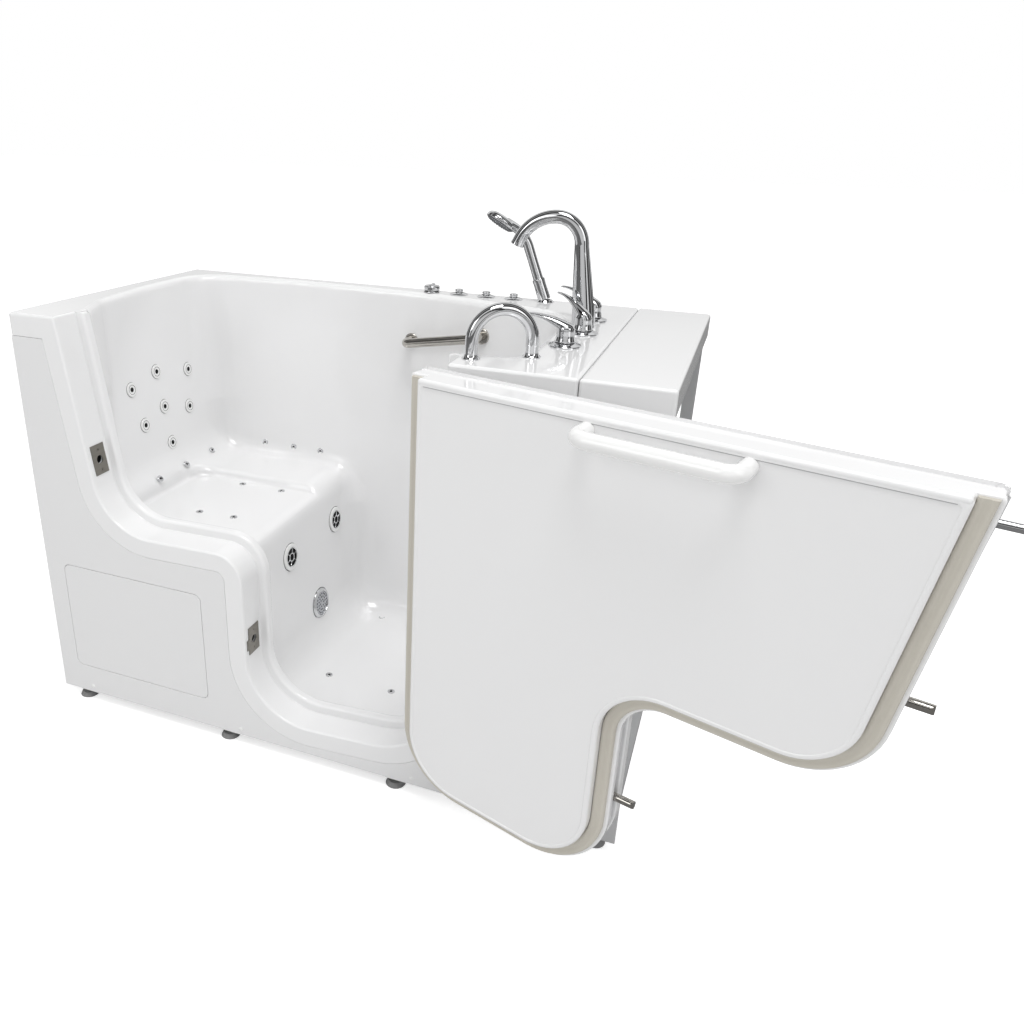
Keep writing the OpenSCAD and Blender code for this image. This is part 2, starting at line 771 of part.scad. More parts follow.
module wall_grab_bar() color("silver") centred() {
    rod(bar_end(0, bar_stand) - bar_run * wall_bar_d / 2,
        bar_end(1, bar_stand) + bar_run * wall_bar_d / 2, wall_bar_d / 2);
    for (i = [0, 1]) {
        rod(bar_wall(i), bar_end(i, bar_stand), wall_bar_d / 2 - post_step);
        rod(bar_wall(i), bar_end(i, bar_flange_t), bar_flange_r);
    }
}

deck_bar_feet = [[tub_l - 225, 57], [tub_l - 120, 124]];
deck_bar_run = deck_bar_feet[1] - deck_bar_feet[0];
deck_bar_leg = 34;
deck_bar_base_r = 19;

module deck_grab_bar() color("silver") centred()
    on_deck((deck_bar_feet[0] + deck_bar_feet[1]) / 2)
        rotate([0, 0, atan2(deck_bar_run[1], deck_bar_run[0])]) {
            for (side = [-1, 1])
                translate([side * norm(deck_bar_run) / 2, 0, 0]) {
                    cylinder(h = deck_bar_leg, r = deck_bar_d / 2);
                    cylinder(h = 5, r = deck_bar_base_r);
                }
            translate([0, 0, deck_bar_leg]) bend(norm(deck_bar_run) / 2, deck_bar_d / 2, 0, 180);
        }

// --- Taps ----------------------------------------------------------------------------------------

tap_base_h = 8;
stem_top = 34;
hub_r = 19;
hub_h = 34;
handle_r = 8;
handle_turns = [180, 140, 160];            // way that each handle points
handle_runs = [82, 93, 88];                // reach of each handle
handle_rises = [62, 76, 70];               // height of each handle's tip above the deck
supply_r = 10;
supply_l = 22;
valve_r = 20;
valve_h = 70;

module tap_escutcheons() color("silver") centred()
    for (p = tap_places)
        on_deck(p) difference() {
            cylinder(h = tap_base_h, r1 = tap_d / 2, r2 = tap_d / 2 - 4);
            translate([0, 0, -over]) cylinder(h = tap_base_h + 2 * over, r = stem_hole_r);
        }

module valve_bodies() color("goldenrod") centred()
    for (p = tap_places)
        on_deck(p) {
            translate([0, 0, -wall_t - valve_h]) cylinder(h = valve_h, r = valve_r);
            translate([0, 0, -wall_t - valve_h - supply_l]) cylinder(h = supply_l, r = supply_r);
            translate([0, 0, -wall_t]) cylinder(h = wall_t + stem_top, r = stem_r);
        }

module lever_handle(i)
    on_deck(tap_places[i]) difference() {
        union() {
            translate([0, 0, tap_base_h + touch_gap]) cylinder(h = hub_h, r1 = hub_r + 3, r2 = hub_r - 3);
            rotate([0, 0, handle_turns[i]]) {
                rod([0, 0, hub_h], [handle_runs[i], 0, handle_rises[i]], handle_r);
                translate([handle_runs[i], 0, handle_rises[i]]) sphere(r = handle_r + 1);
            }
        }
        translate([0, 0, -over]) cylinder(h = stem_top + over + touch_gap, r = stem_r + running_gap);
    }

module handle_hot() color("silver") centred() lever_handle(0);

module handle_diverter() color("silver") centred() lever_handle(1);

module handle_cold() color("silver") centred() lever_handle(2);

spout_bend_r = 60;                         // the arch is tight over the column
spout_nose_r = 93;                         // and wider towards the outlet
spout_r = spout_d / 2;
spout_rise = spout_h - spout_bend_r;       // height of the tight arch's centre
spout_lean = 19;                           // how far the column leans towards the tub
spout_sweep = 156;                         // angle of the outlet from the column's side
spout_root = 5;                            // the leaning column starts this far above the deck
spout_tail = 12;
spout_step = 1;                            // how far the column and the nozzle stand proud of the arch
spout_end = [cos(spout_sweep), 0, sin(spout_sweep)] * spout_nose_r;
spout_end_run = [-sin(spout_sweep), 0, cos(spout_sweep)] * spout_tail;

module spout() color("silver") centred()
    on_deck(spout_place) {
        translate([0, 0, -3 * wall_t]) cylinder(h = 3 * wall_t, r = spout_stud_r);
        cylinder(h = 6, r = 28);
        rod([0, 0, spout_root], [-spout_lean, 0, spout_rise], spout_r + 11, spout_r + spout_step);
        translate([-spout_lean - spout_bend_r, 0, spout_rise]) bend(spout_bend_r, spout_r, 0, 90);
        translate([-spout_lean - spout_bend_r, 0, spout_h - spout_nose_r]) {
            bend(spout_nose_r, spout_r, 90, spout_sweep - 90);
            rod(spout_end - spout_end_run / 4, spout_end + spout_end_run, spout_r + spout_step);
        }
    }

// --- Hand shower ---------------------------------------------------------------------------------

shower_base_h = 6;
shower_base_r = 23;
sleeve_l = 62;
sleeve_r = 17;
grip_l = 148;
grip_z = 12;                               // the grip's lower end inside the sleeve, above the deck
neck = [-sin(shower_tilt), 0, cos(shower_tilt)] * grip_l;
head = [-130, 0, 200];
head_tilt = 28;                            // the face looks down and towards the seat
head_turn = 20;                            // and a little towards the door side
head_normal = [
    -sin(head_tilt) * cos(head_turn), -sin(head_turn), -cos(head_tilt) * cos(head_turn)
];
head_run = [-cos(head_tilt), 0, sin(head_tilt)];
head_r = 38;
head_t = 22;
head_root = head - head_normal * head_t / 4 - head_run * head_r / 2;

module along_shower() on_deck(shower_place) rotate([0, -shower_tilt, 0]) children();

module hand_shower_holder() color("silver") centred()
    difference() {
        union() {
            on_deck(shower_place) cylinder(h = shower_base_h, r = shower_base_r);
            intersection() {
                along_shower() translate([0, 0, -sleeve_r]) cylinder(h = sleeve_l + sleeve_r, r = sleeve_r);
                on_deck(shower_place) translate([-head_r * 4, -head_r * 4, 0]) cube(head_r * 8);
            }
        }
        along_shower() translate([0, 0, -sleeve_l]) cylinder(h = 3 * sleeve_l, r = shower_r + touch_gap);
    }

module hand_shower() color("silver") centred()
    on_deck(shower_place) {
        rotate([0, -shower_tilt, 0]) translate([0, 0, grip_z]) cylinder(h = grip_l - grip_z, r = shower_r);
        translate(neck) sphere(r = shower_r + 1);
        rod(neck, head_root, shower_r);
        rod(head - head_normal * head_t / 2, head + head_normal * head_t / 2, head_r - 4, head_r);
    }

module shower_face() color("gray") centred()
    on_deck(shower_place)
        rod(head + head_normal * head_t / 2, head + head_normal * (head_t / 2 + 2), head_r - 6);

// --- Drain knob and push buttons -----------------------------------------------------------------

knob_ring_h = 5;
knob_h = 16;
knob_r = 21;
knob_stem_r = 4;

module drain_knob_ring() color("silver") centred()
    on_deck(knob_place) {
        cylinder(h = knob_ring_h, r = knob_r + 2);
        translate([0, 0, -3 * wall_t]) cylinder(h = 3 * wall_t, r = stem_hole_r - 1);
        cylinder(h = knob_ring_h + knob_h / 2, r = knob_stem_r);
    }

module drain_knob() color("silver") centred()
    on_deck(knob_place) translate([0, 0, knob_ring_h + touch_gap])
        difference() {
            union() {
                cylinder(h = knob_h, r1 = knob_r, r2 = knob_r - 2);
                translate([0, 0, knob_h]) box([-3, -knob_r + 4, 0], [3, knob_r - 4, 4]);
            }
            translate([0, 0, -over]) cylinder(h = knob_h / 2 + 2 * over, r = knob_stem_r + running_gap);
        }

button_ring_h = 6;
button_rise = 15;
button_foot = 6;                           // how far a button reaches below the deck

module button_rings() color("silver") centred()
    for (p = button_places)
        on_deck(p) ring(24, button_d / 2 + touch_gap, button_ring_h);

module push_button(i)
    on_deck(button_places[i]) translate([0, 0, -button_foot])
        cylinder(h = button_foot + button_rise, r = button_d / 2);

module button_left() color("silver") centred() push_button(0);

module button_middle() color("silver") centred() push_button(1);

module button_right() color("silver") centred() push_button(2);

module button_bodies() color("dimgray") centred()
    for (p = button_places)
        on_deck(p) translate([0, 0, -wall_t - 30])
            difference() {
                cylinder(h = 30, r = button_body_r);
                translate([0, 0, 30 + wall_t - button_foot - button_travel - touch_gap])
                    cylinder(h = 2 * button_foot, r = button_d / 2 + touch_gap);
            }

// --- Hinges --------------------------------------------------------------------------------------

hinge = [door_right - 16, -8];             // the hinge axis
hinge_z = [230, 565, tub_h - 167];         // lower end of each hinge
hinge_h = 90;
barrel_r = 8;
knuckles = 5;
knuckle_h = hinge_h / knuckles;
leaf_w = 60;
leaf_t = 3;
door_face = 1;                             // the closed door's outer face lies this far back
pin_r = hinge_pin_d / 2;

module on_door()
    translate([hinge[0], hinge[1], 0]) rotate([0, 0, door_open])
        translate([-hinge[0], -hinge[1], 0]) children();

// A hinge leaf with its knuckles; first is the lowest knuckle that it carries
module hinge_leaf(first, low, high)
    for (z = hinge_z)
        difference() {
            union() {
                box([low[0], low[1], z], [high[0], high[1], z + hinge_h]);
                for (k = [first:2:knuckles - 1])
                    translate([hinge[0], hinge[1], z + k * knuckle_h + touch_gap / 2])
                        cylinder(h = knuckle_h - touch_gap, r = barrel_r);
            }
            for (k = [1 - first:2:knuckles - 1])
                translate([hinge[0], hinge[1], z + k * knuckle_h - touch_gap / 2])
                    cylinder(h = knuckle_h + touch_gap, r = barrel_r + touch_gap);
            translate([hinge[0], hinge[1], z - over])
                cylinder(h = hinge_h + 2 * over, r = pin_r + running_gap);
        }

module hinge_brackets() color("silver") centred()
    hinge_leaf(0, [hinge[0] + over, -leaf_t], [hinge[0] + leaf_w, 0]);

module door_hinge_leaves() color("silver") centred() on_door()
    hinge_leaf(1, [hinge[0] - leaf_w, door_face - leaf_t], [hinge[0] - over, door_face]);

module hinge_pins() color("gray") centred()
    for (z = hinge_z) {
        translate([hinge[0], hinge[1], z - 4]) cylinder(h = hinge_h + 8, r = pin_r);
        for (end = [z - 6, z + hinge_h + touch_gap])
            translate([hinge[0], hinge[1], end]) cylinder(h = 5, r = pin_r + 2);
    }

// --- Door ----------------------------------------------------------------------------------------

door_top = tub_h - 5;
flange_back = door_face + flange_t;
channel_in = door_gap + 14;                // outline of the recess behind the flange
channel_back = 50;
lip_back = jamb_d - seal_t;
void_in = channel_in + skin_t;
raised_in = ridge_in + 12;
raised_void = raised_in + skin_t;
raised_back = jamb_d + panel_rise;
spindle_x = 254;
spindle_r = 8;

module door_part(y0, y1, d) slab(y0, y1) polygon(door_outline(d, door_top));

module door_void(y0, y1, d) slab(y0, y1) polygon(door_outline(d, door_top - d));

wing_edge = jamb_x(bolt_top_z);
leg_edge = leg_x;

module door_bore(edge, z, r, l)
    translate([edge + channel_in - 2, bolt_y, z]) rotate([0, 90, 0]) cylinder(h = l, r = r);

guide_r = bolt_d / 2 + 3;
guide_l = 22;

module door_outer_shell() color("whitesmoke") centred() on_door()
    difference() {
        union() {
            door_part(door_face, flange_back, door_gap);
            door_part(flange_back, channel_back, channel_in);
        }
        door_void(door_face + skin_t, channel_back + over, void_in);
        door_bore(wing_edge - 3 * skin_t, bolt_top_z, guide_r, 8 * skin_t);
        door_bore(leg_edge - 3 * skin_t, bolt_low_z, guide_r, 8 * skin_t);
        translate([spindle_x, -over, spindle_z]) rotate([-90, 0, 0])
            cylinder(h = 2 * skin_t, r = spindle_r + running_gap);
    }

module door_inner_shell() color("whitesmoke") centred() on_door()
    difference() {
        union() {
            door_part(channel_back, lip_back, door_gap);
            door_part(lip_back, raised_back, raised_in);
        }
        door_void(channel_back - over, lip_back - skin_t, void_in);
        door_void(channel_back - over, raised_back - skin_t, raised_void);
    }

module door_gasket() color("tan") centred() on_door()
    slab(lip_back, jamb_d - touch_gap)
        difference() {
            polygon(door_outline(door_gap + 7, door_top - 4));
            polygon(door_outline(raised_in, door_top + over));
        }

bar_y = [door_face + skin_t, door_face + skin_t + 20];

module door_bar(low, high) box([low[0], bar_y[0], low[1]], [high[0], bar_y[1], high[1]]);

stile_x = door_right - 62;
stile_w = 25;
door_bar_w = 20;
leg_stile_x = leg_x + 43;
frame_low = 240;                           // clears the rounded lower corners of the door
wing_bar_z = wing_z + 54;
top_bar_z = door_top - 62;

module door_frame() color("dimgray") centred() on_door() {
    door_bar([stile_x, frame_low], [stile_x + stile_w, door_top - 32]);
    door_bar([leg_stile_x, frame_low], [leg_stile_x + door_bar_w, wing_bar_z]);
    door_bar([leg_stile_x + door_bar_w, frame_low], [stile_x, frame_low + door_bar_w]);
    door_bar([260, wing_bar_z], [stile_x, wing_bar_z + door_bar_w]);
    door_bar([spindle_x + 40, top_bar_z], [stile_x, top_bar_z + door_bar_w]);
}

pull_x = door_right - 28 - 350;            // the pull handle's post nearest the hinges
pull_z = door_top - 26;
pull_y = raised_back + pull_gap + pull_d / 2;

module door_handle() color("white") centred() on_door() {
    rod([pull_x + pull_d / 2, pull_y, pull_z],
        [pull_x - pull_l - pull_d / 2, pull_y, pull_z], pull_d / 2);
    for (x = [pull_x, pull_x - pull_l])
        rod([x, raised_back, pull_z], [x, pull_y, pull_z], pull_d / 2 - post_step);
}

// --- Latch ---------------------------------------------------------------------------------------

crank_r = bolt_stroke / 2 / sin(45);
crank_y = door_face + skin_t + 14;
crank_t = 6;
crank_pin_r = 4;
link_y = [34, 42];
link_w = 8;
pin_x = spindle_x - bolt_stroke / 2;       // the crank pin at rest, with the bolts thrown
slot_half = crank_pin_r + 1.3;
slot_low = spindle_z + crank_r * cos(45) - crank_pin_r - 3;
slot_high = spindle_z + crank_r + crank_pin_r + 3;
leg_bar_x = leg_edge + 43;
cross_bar_z = wing_z + 100;
rose_t = 8;
lever_y = -38;
lever_r = 7;

module bolt_guides() color("silver") centred() on_door() {
    for (p = [[wing_edge, bolt_top_z], [leg_edge, bolt_low_z]])
        translate([p[0] + channel_in - 4, bolt_y, p[1]]) rotate([0, 90, 0])
            ring(guide_r, bolt_d / 2 + running_gap, guide_l);
    translate([spindle_x, door_face, spindle_z]) rotate([90, 0, 0])
        ring(25, spindle_r + running_gap, rose_t);
}

module latch_lever() color("silver") centred() on_door() {
    translate([spindle_x, crank_y, spindle_z]) rotate([90, 0, 0])
        cylinder(h = crank_y - lever_y + lever_r, r = spindle_r);
    translate([spindle_x, lever_y + 12, spindle_z]) rotate([90, 0, 0]) cylinder(h = 20, r = 15);
    rod([spindle_x, lever_y, spindle_z], [spindle_x - lever_l, lever_y, spindle_z], lever_r);
    slab(crank_y, crank_y + crank_t)
        hull() {
            translate([spindle_x, spindle_z]) circle(r = spindle_r + 2, $fn = 32);
            translate([pin_x, spindle_z + bolt_stroke / 2]) circle(r = crank_pin_r + 3, $fn = 32);
        }
    translate([pin_x, link_y[1] + 1, spindle_z + bolt_stroke / 2]) rotate([90, 0, 0])
        cylinder(h = link_y[1] + 1 - crank_y, r = crank_pin_r);
}

module link_bar(low, high) box([low[0], link_y[0], low[1]], [high[0], link_y[1], high[1]]);

// A bolt, from its inner end at x to its bevelled tip
module latch_bolt(x, tip, z)
    difference() {
        translate([tip, bolt_y, z]) rotate([0, 90, 0]) cylinder(h = x - tip, r = bolt_d / 2);
        translate([tip - over, bolt_y, z - bolt_d]) rotate([0, 0, -45])
            translate([-2 * bolt_d, 0, 0]) cube([2 * bolt_d, 2 * bolt_d, 2 * bolt_d]);
    }

module latch_linkage() color("silver") centred() on_door() {
    difference() {
        link_bar([pin_x - 13, slot_low - 7], [pin_x + 13, slot_high + 5]);
        slab(link_y[0] - over, link_y[1] + over)
            translate([pin_x - slot_half, slot_low]) square([2 * slot_half, slot_high - slot_low]);
    }
    link_bar([pin_x - link_w / 2, cross_bar_z], [pin_x + link_w / 2, slot_low - 7]);
    link_bar([pin_x + link_w / 2, cross_bar_z], [leg_bar_x, cross_bar_z + link_w]);
    link_bar([leg_bar_x, bolt_low_z - link_w], [leg_bar_x + link_w, cross_bar_z + link_w]);
    latch_bolt(pin_x - link_w / 2, wing_edge + door_gap - bolt_out, bolt_top_z);
    latch_bolt(leg_bar_x, leg_edge + door_gap - bolt_out, bolt_low_z);
}

tub_shell();
front_panel();
access_hatch();
panel_screws();
extension_deck();
extension_front();
frame_long_rails();
frame_cross_rails();
frame_uprights();
levelling_feet();
foot_locknuts();
centre_foot();
equipment_tray();
water_pump();
pump_motor();
air_blower();
inline_heater();
control_box();
water_manifold();
air_manifold();
valve_bodies();
button_bodies();
floor_drain();
waste_pipe();
overflow_plate();
back_jets();
riser_jets();
suction_cover();
seat_air_jets();
floor_air_jets();
strike_plate_upper();
strike_plate_lower();
strike_screws();
wall_grab_bar();
deck_grab_bar();
spout();
tap_escutcheons();
handle_hot();
handle_diverter();
handle_cold();
hand_shower_holder();
hand_shower();
shower_face();
drain_knob_ring();
drain_knob();
button_rings();
button_left();
button_middle();
button_right();
hinge_brackets();
hinge_pins();
door_hinge_leaves();
door_outer_shell();
door_inner_shell();
door_frame();
door_gasket();
door_handle();
bolt_guides();
latch_lever();
latch_linkage();
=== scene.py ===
import math

import bpy
import numpy as np
from mathutils import Matrix, Vector


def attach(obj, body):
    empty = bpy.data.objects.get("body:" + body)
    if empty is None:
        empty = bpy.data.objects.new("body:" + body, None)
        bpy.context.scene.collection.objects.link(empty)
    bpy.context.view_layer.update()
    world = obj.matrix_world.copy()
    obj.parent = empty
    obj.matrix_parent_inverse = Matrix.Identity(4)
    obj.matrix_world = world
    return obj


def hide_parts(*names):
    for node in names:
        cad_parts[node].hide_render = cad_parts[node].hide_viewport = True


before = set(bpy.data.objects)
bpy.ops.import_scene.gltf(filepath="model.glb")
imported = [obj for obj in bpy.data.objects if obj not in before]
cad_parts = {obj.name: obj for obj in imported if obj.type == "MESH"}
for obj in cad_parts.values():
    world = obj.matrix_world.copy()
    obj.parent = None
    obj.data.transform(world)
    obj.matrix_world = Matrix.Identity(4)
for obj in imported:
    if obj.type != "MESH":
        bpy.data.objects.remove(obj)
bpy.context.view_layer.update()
bpy.ops.object.select_all(action="DESELECT")

# ---- Camera -------------------------------------------------------------------------------------
# A camera about 1.5 m up in front of the tap end, its lens, place and turn fitted to the edges
# of the real tub.

camera_data = bpy.data.cameras.new("camera")
camera_data.lens = 30.62
camera_data.sensor_width = 36
camera_data.shift_x = 0.0996
camera_data.shift_y = -0.0215
camera = bpy.data.objects.new("camera", camera_data)
camera.matrix_world = Matrix((
    (0.92865, -0.15935, 0.33498, 0.8629),
    (0.37044, 0.35074, -0.86009, -1.9318),
    (0.01956, 0.92282, 0.38474, 1.4852),
    (0, 0, 0, 1),
))
bpy.context.scene.collection.objects.link(camera)
bpy.context.scene.camera = camera

# ---- Studio -------------------------------------------------------------------------------------
# A white seamless floor, a high soft box over the tub and two in front. The camera sees a white
# background; mirrors see a dim room with bright strips, which gives chrome its dark streaks.


def by_ray(tree, lit, seen, mirrored):
    """A value for the light that falls, one for the camera's rays and one for mirror rays."""
    path = tree.nodes.new("ShaderNodeLightPath")
    value = None
    for ray, other in (("Is Camera Ray", seen), ("Is Glossy Ray", mirrored)):
        step = tree.nodes.new("ShaderNodeMix")
        step.inputs["A"].default_value = lit
        step.inputs["B"].default_value = other
        tree.links.new(path.outputs[ray], step.inputs["Factor"])
        if value is not None:
            tree.links.new(value, step.inputs["A"])
        value = step.outputs["Result"]
    return value


def wire(tree, *runs):
    """Links nodes; a run is a node, its output, the next node and that one's input."""
    for source, out, target, into in runs:
        tree.links.new(source.outputs[out], target.inputs[into])


END_WALL = 0.65
world = bpy.data.worlds.new("studio")
world.use_nodes = True
bpy.context.scene.world = world
tree = world.node_tree
sky = tree.nodes["Background"]
tree.links.new(by_ray(tree, 0.62, 1.0, 1.0), sky.inputs["Strength"])
way = tree.nodes.new("ShaderNodeTexCoord")
ahead = tree.nodes.new("ShaderNodeVectorMath")
ahead.operation = "DOT_PRODUCT"
ahead.inputs[1].default_value = (-0.25, 0.968, 0.0)
spread = tree.nodes.new("ShaderNodeMapRange")
spread.inputs["From Min"].default_value = -1
strips = tree.nodes.new("ShaderNodeValToRGB")
room = [(0.0, 0.75), (0.06, 0.60), (0.08, 0.02), (0.14, 0.02), (0.17, 1.0), (0.24, 1.0),
        (0.27, 0.03), (0.36, 0.12), (0.42, 0.01), (0.46, 0.01), (0.49, 0.42), (0.56, 0.34),
        (0.62, 0.10), (0.68, 0.02), (0.75, 0.15), (0.82, 0.95), (0.90, 0.90), (0.95, END_WALL)]
for mark, bright in room:
    stop = strips.color_ramp.elements.new(mark)
    stop.color = (bright, bright, bright, 1)
strips.color_ramp.elements.remove(strips.color_ramp.elements[0])
strips.color_ramp.elements[-1].color = (END_WALL, END_WALL, END_WALL, 1)
ray = tree.nodes.new("ShaderNodeLightPath")
pick = tree.nodes.new("ShaderNodeMix")
pick.data_type = "RGBA"
pick.inputs["A"].default_value = (1, 1, 1, 1)
wire(tree, (way, "Generated", ahead, 0), (ahead, "Value", spread, "Value"),
     (spread, "Result", strips, "Fac"), (ray, "Is Glossy Ray", pick, "Factor"),
     (strips, "Color", pick, "B"), (pick, "Result", sky, "Color"))

bpy.ops.mesh.primitive_plane_add(size=60, location=(0, 0, -0.0005))
floor = bpy.context.object
floor.name = "studio_floor"
bpy.ops.object.transform_apply(location=True)
paper = bpy.data.materials.new("studio_paper")
paper.use_nodes = True
tree = paper.node_tree
shade = tree.nodes["Principled BSDF"]
tree.links.new(by_ray(tree, 0.88, 0.88, 0.22), shade.inputs["Base Color"])
shade.inputs["Roughness"].default_value = 0.9
shade.inputs["Emission Color"].default_value = (1, 1, 1, 1)
tree.links.new(by_ray(tree, 0.0, 0.58, 0.0), shade.inputs["Emission Strength"])
floor.data.materials.append(paper)


def soft_box(name, place, target, size, power):
    lamp = bpy.data.lights.new(name, "AREA")
    lamp.shape = "RECTANGLE"
    lamp.size, lamp.size_y = size
    lamp.energy = power
    box = bpy.data.objects.new(name, lamp)
    aim = (Vector(target) - Vector(place)).to_track_quat("-Z", "Y")
    box.matrix_world = Matrix.Translation(place) @ aim.to_matrix().to_4x4()
    bpy.context.scene.collection.objects.link(box)


soft_box("key_box", (-1.4, -3.2, 2.6), (-0.1, 0, 0.5), (2.0, 1.6), 17)
soft_box("top_box", (1.0, -1.4, 6.0), (0, 0, 0.4), (2.2, 2.2), 132)
soft_box("side_box", (2.8, -1.6, 2.4), (-0.3, 0, 0.5), (1.4, 1.8), 8)

bpy.context.scene.view_settings.view_transform = "Standard"

# ---- Tub shell ----------------------------------------------------------------------------------
# One vacuum-formed acrylic sheet, 7 mm thick with its backing: deck, fascia, backrest, seat,
# footwell and the stepped doorway. It is drawn over a mould, so every inner corner is a fillet.

TUB_L, TUB_W, TUB_H = 1346, 762, 1067
SEAT_Z, FLOOR_Z, RIDGE_Y = 535, 88, 98
RISER_TOP, RISER_FOOT, WALL_FOOT = 555, 600, 650
BACK_LEAN = 0.12
UP = (0, 0, 1)


def at(x, y, z):
    """Metres in the shared frame, from millimetres off the tub's front left corner."""
    return Vector(((x - 762) / 1000, (y - 381) / 1000, z / 1000))


def side(p, q, u, v):
    """How far (u, v) lies outside the line from p to q, whose inner side is on the left."""
    run = np.subtract(q, p) / np.linalg.norm(np.subtract(q, p))
    return (v - p[1]) * -run[0] + (u - p[0]) * run[1]


def meet(a, b, k):
    """The room inside both walls; the corner between them swells over a width of k."""
    near = np.maximum(k - np.abs(a - b), 0) / k
    return np.maximum(a, b) + near * near * k / 4


def join(a, b, k):
    """The room inside either wall, with the edge between them rounded over a width of k."""
    return -meet(-a, -b, k)


STEP = 5.0
room_low = np.array([22.0, 66.0, 71.0])
x, y, z = (np.arange(low, high, STEP, dtype=np.float32)[shape]
           for low, high, shape in zip(room_low, (1262, 744, 1108), (
               np.s_[:, None, None], np.s_[None, :, None], np.s_[None, None, :])))


def back_x(height):
    return 60 + BACK_LEAN * (TUB_H - height)


backrest = side((back_x(1117), 1117), (back_x(SEAT_Z), SEAT_Z), x, z)
riser = side((RISER_TOP, SEAT_Z), (RISER_FOOT, FLOOR_Z), x, z)
room = join(meet(backrest, SEAT_Z - z, 96), meet(riser, FLOOR_Z - z, 100), 56)
room = meet(room, side((1160, FLOOR_Z), (1217.8, 1117), x, z), 105)
room = meet(room, side((1222, 112), (1205, 600), x, y), 6)
left_front = meet(side((52, 500), (90, 225), x, y), side((90, 225), (150, 98), x, y), 6)
room = meet(room, left_front, 10)
lower_wall = WALL_FOOT + 22 / 412 * (z - FLOOR_Z)
upper_wall = 672 + 0.0776 * (z - 500)
back_wall = meet(y + join(-lower_wall, -upper_wall, 3), side((800, 694), (400, 712), x, y), 3)
back_wall = meet(back_wall, side((400, 712), (70, 690), x, y), 3)
back_wall = meet(back_wall, side((1205, 600), (800, 694), x, y), 5)
corner = np.interp(z, (88, 430, 520, 575, 700), (84, 84, 42, 42, 120)).astype(np.float32)
room = meet(room, back_wall, corner)
front_wall = meet(RIDGE_Y - y, side((1085, RIDGE_Y), (1222, 112), x, y), 3)
front_corner = 22 + np.interp(x, (900, 1100), (0, 44)) + np.interp(z, (100, 260), (26, 0))
room = meet(room, front_wall, front_corner.astype(np.float32))
recess = meet(meet(150 - x, y - 485, 100), 515 - z, 14)
recess = np.maximum(np.maximum(recess, front_wall), x - 900)
room = join(room, recess, 14)
room = join(room, np.broadcast_to(TUB_H + 0.05 - z, room.shape), 17)


def net(field, low, step):
    """The surface where the field is zero, as points and quads that face out of its negative side."""
    inside = np.pad(field, 1, constant_values=1.0) < 0
    field = np.pad(field, 1, constant_values=1.0)
    cells = np.array(field.shape) - 1
    corners = [(i, j, k) for i in (0, 1) for j in (0, 1) for k in (0, 1)]
    count = sum(inside[i:cells[0] + i, j:cells[1] + j, k:cells[2] + k].astype(np.int8)
                for i, j, k in corners)
    mixed = np.argwhere((count > 0) & (count < 8))
    number = np.full(cells, -1)
    number[tuple(mixed.T)] = np.arange(len(mixed))
    total, hits = np.zeros((len(mixed), 3)), np.zeros(len(mixed))
    for axis in range(3):
        for start in [np.array(c) for c in corners if c[axis] == 0]:
            end = start + np.eye(3, dtype=int)[axis]
            a, b = field[tuple((mixed + start).T)], field[tuple((mixed + end).T)]
            crossed = (a < 0) != (b < 0)
            share = np.where(crossed, a / np.where(a == b, 1, a - b), 0)
            total += np.where(crossed[:, None], start + share[:, None] * (end - start), 0)
            hits += crossed
    points = low + step * (mixed - 1 + total / hits[:, None])
    quads = []
    for axis in range(3):
        u, v = np.eye(3, dtype=int)[[(axis + 1) % 3, (axis + 2) % 3]]
        a = inside[tuple(slice(0, -1 if i == axis else None) for i in range(3))]
        b = inside[tuple(slice(1 if i == axis else 0, None) for i in range(3))]
        edge = np.argwhere(a != b)
        quad = np.stack([number[tuple((edge - s).T)] for s in (u + v, v, 0 * u, u)], axis=1)
        outward = a[tuple(edge.T)]
        quad[~outward] = quad[~outward][:, ::-1]
        quads.append(quad)
    return points, np.concatenate(quads)


def mesh_object(name, points, faces):
    mesh = bpy.data.meshes.new(name)
    mesh.from_pydata([at(*p) for p in points], [], faces)
    mesh.validate()
    mesh.update()
    made = bpy.data.objects.new(name, mesh)
    bpy.context.scene.collection.objects.link(made)
    return made


points, quads = net(room, room_low, STEP)
cavity = mesh_object("cavity", points.tolist(), quads.tolist())


def choose(*pieces):
    """Selects these pieces and no others, and makes the first of them active."""
    bpy.ops.object.select_all(action="DESELECT")
    for piece in pieces:
        piece.select_set(True)
    bpy.context.view_layer.objects.active = pieces[0]


def apply(piece, kind, **settings):
    """Adds a modifier, sets it and applies it."""
    modifier = piece.modifiers.new(kind, kind)
    for key, value in settings.items():
        setattr(modifier, key, value)
    choose(piece)
    bpy.ops.object.modifier_apply(modifier=modifier.name)


def cut(piece, tool, operation="DIFFERENCE"):
    apply(piece, "BOOLEAN", object=tool, operation=operation, solver="MANIFOLD")
    bpy.data.objects.remove(tool)


def in_edit_mode(piece, *steps):
    """Runs edit-mode steps on the whole of a piece."""
    choose(piece)
    bpy.ops.object.mode_set(mode="EDIT")
    for step in steps:
        bpy.ops.mesh.select_all(action="SELECT")
        step()
    bpy.ops.object.mode_set(mode="OBJECT")


def outward():
    bpy.ops.mesh.normals_make_consistent(inside=False)


def block(name, low, high, round_edge=0.0, segments=4):
    low, high = at(*low), at(*high)
    bpy.ops.mesh.primitive_cube_add(size=1, location=(low + high) / 2)
    made = bpy.context.object
    made.name = name
    made.scale = high - low
    bpy.ops.object.transform_apply(location=True, scale=True)
    if round_edge:
        apply(made, "BEVEL", width=round_edge / 1000, segments=segments)
    return made


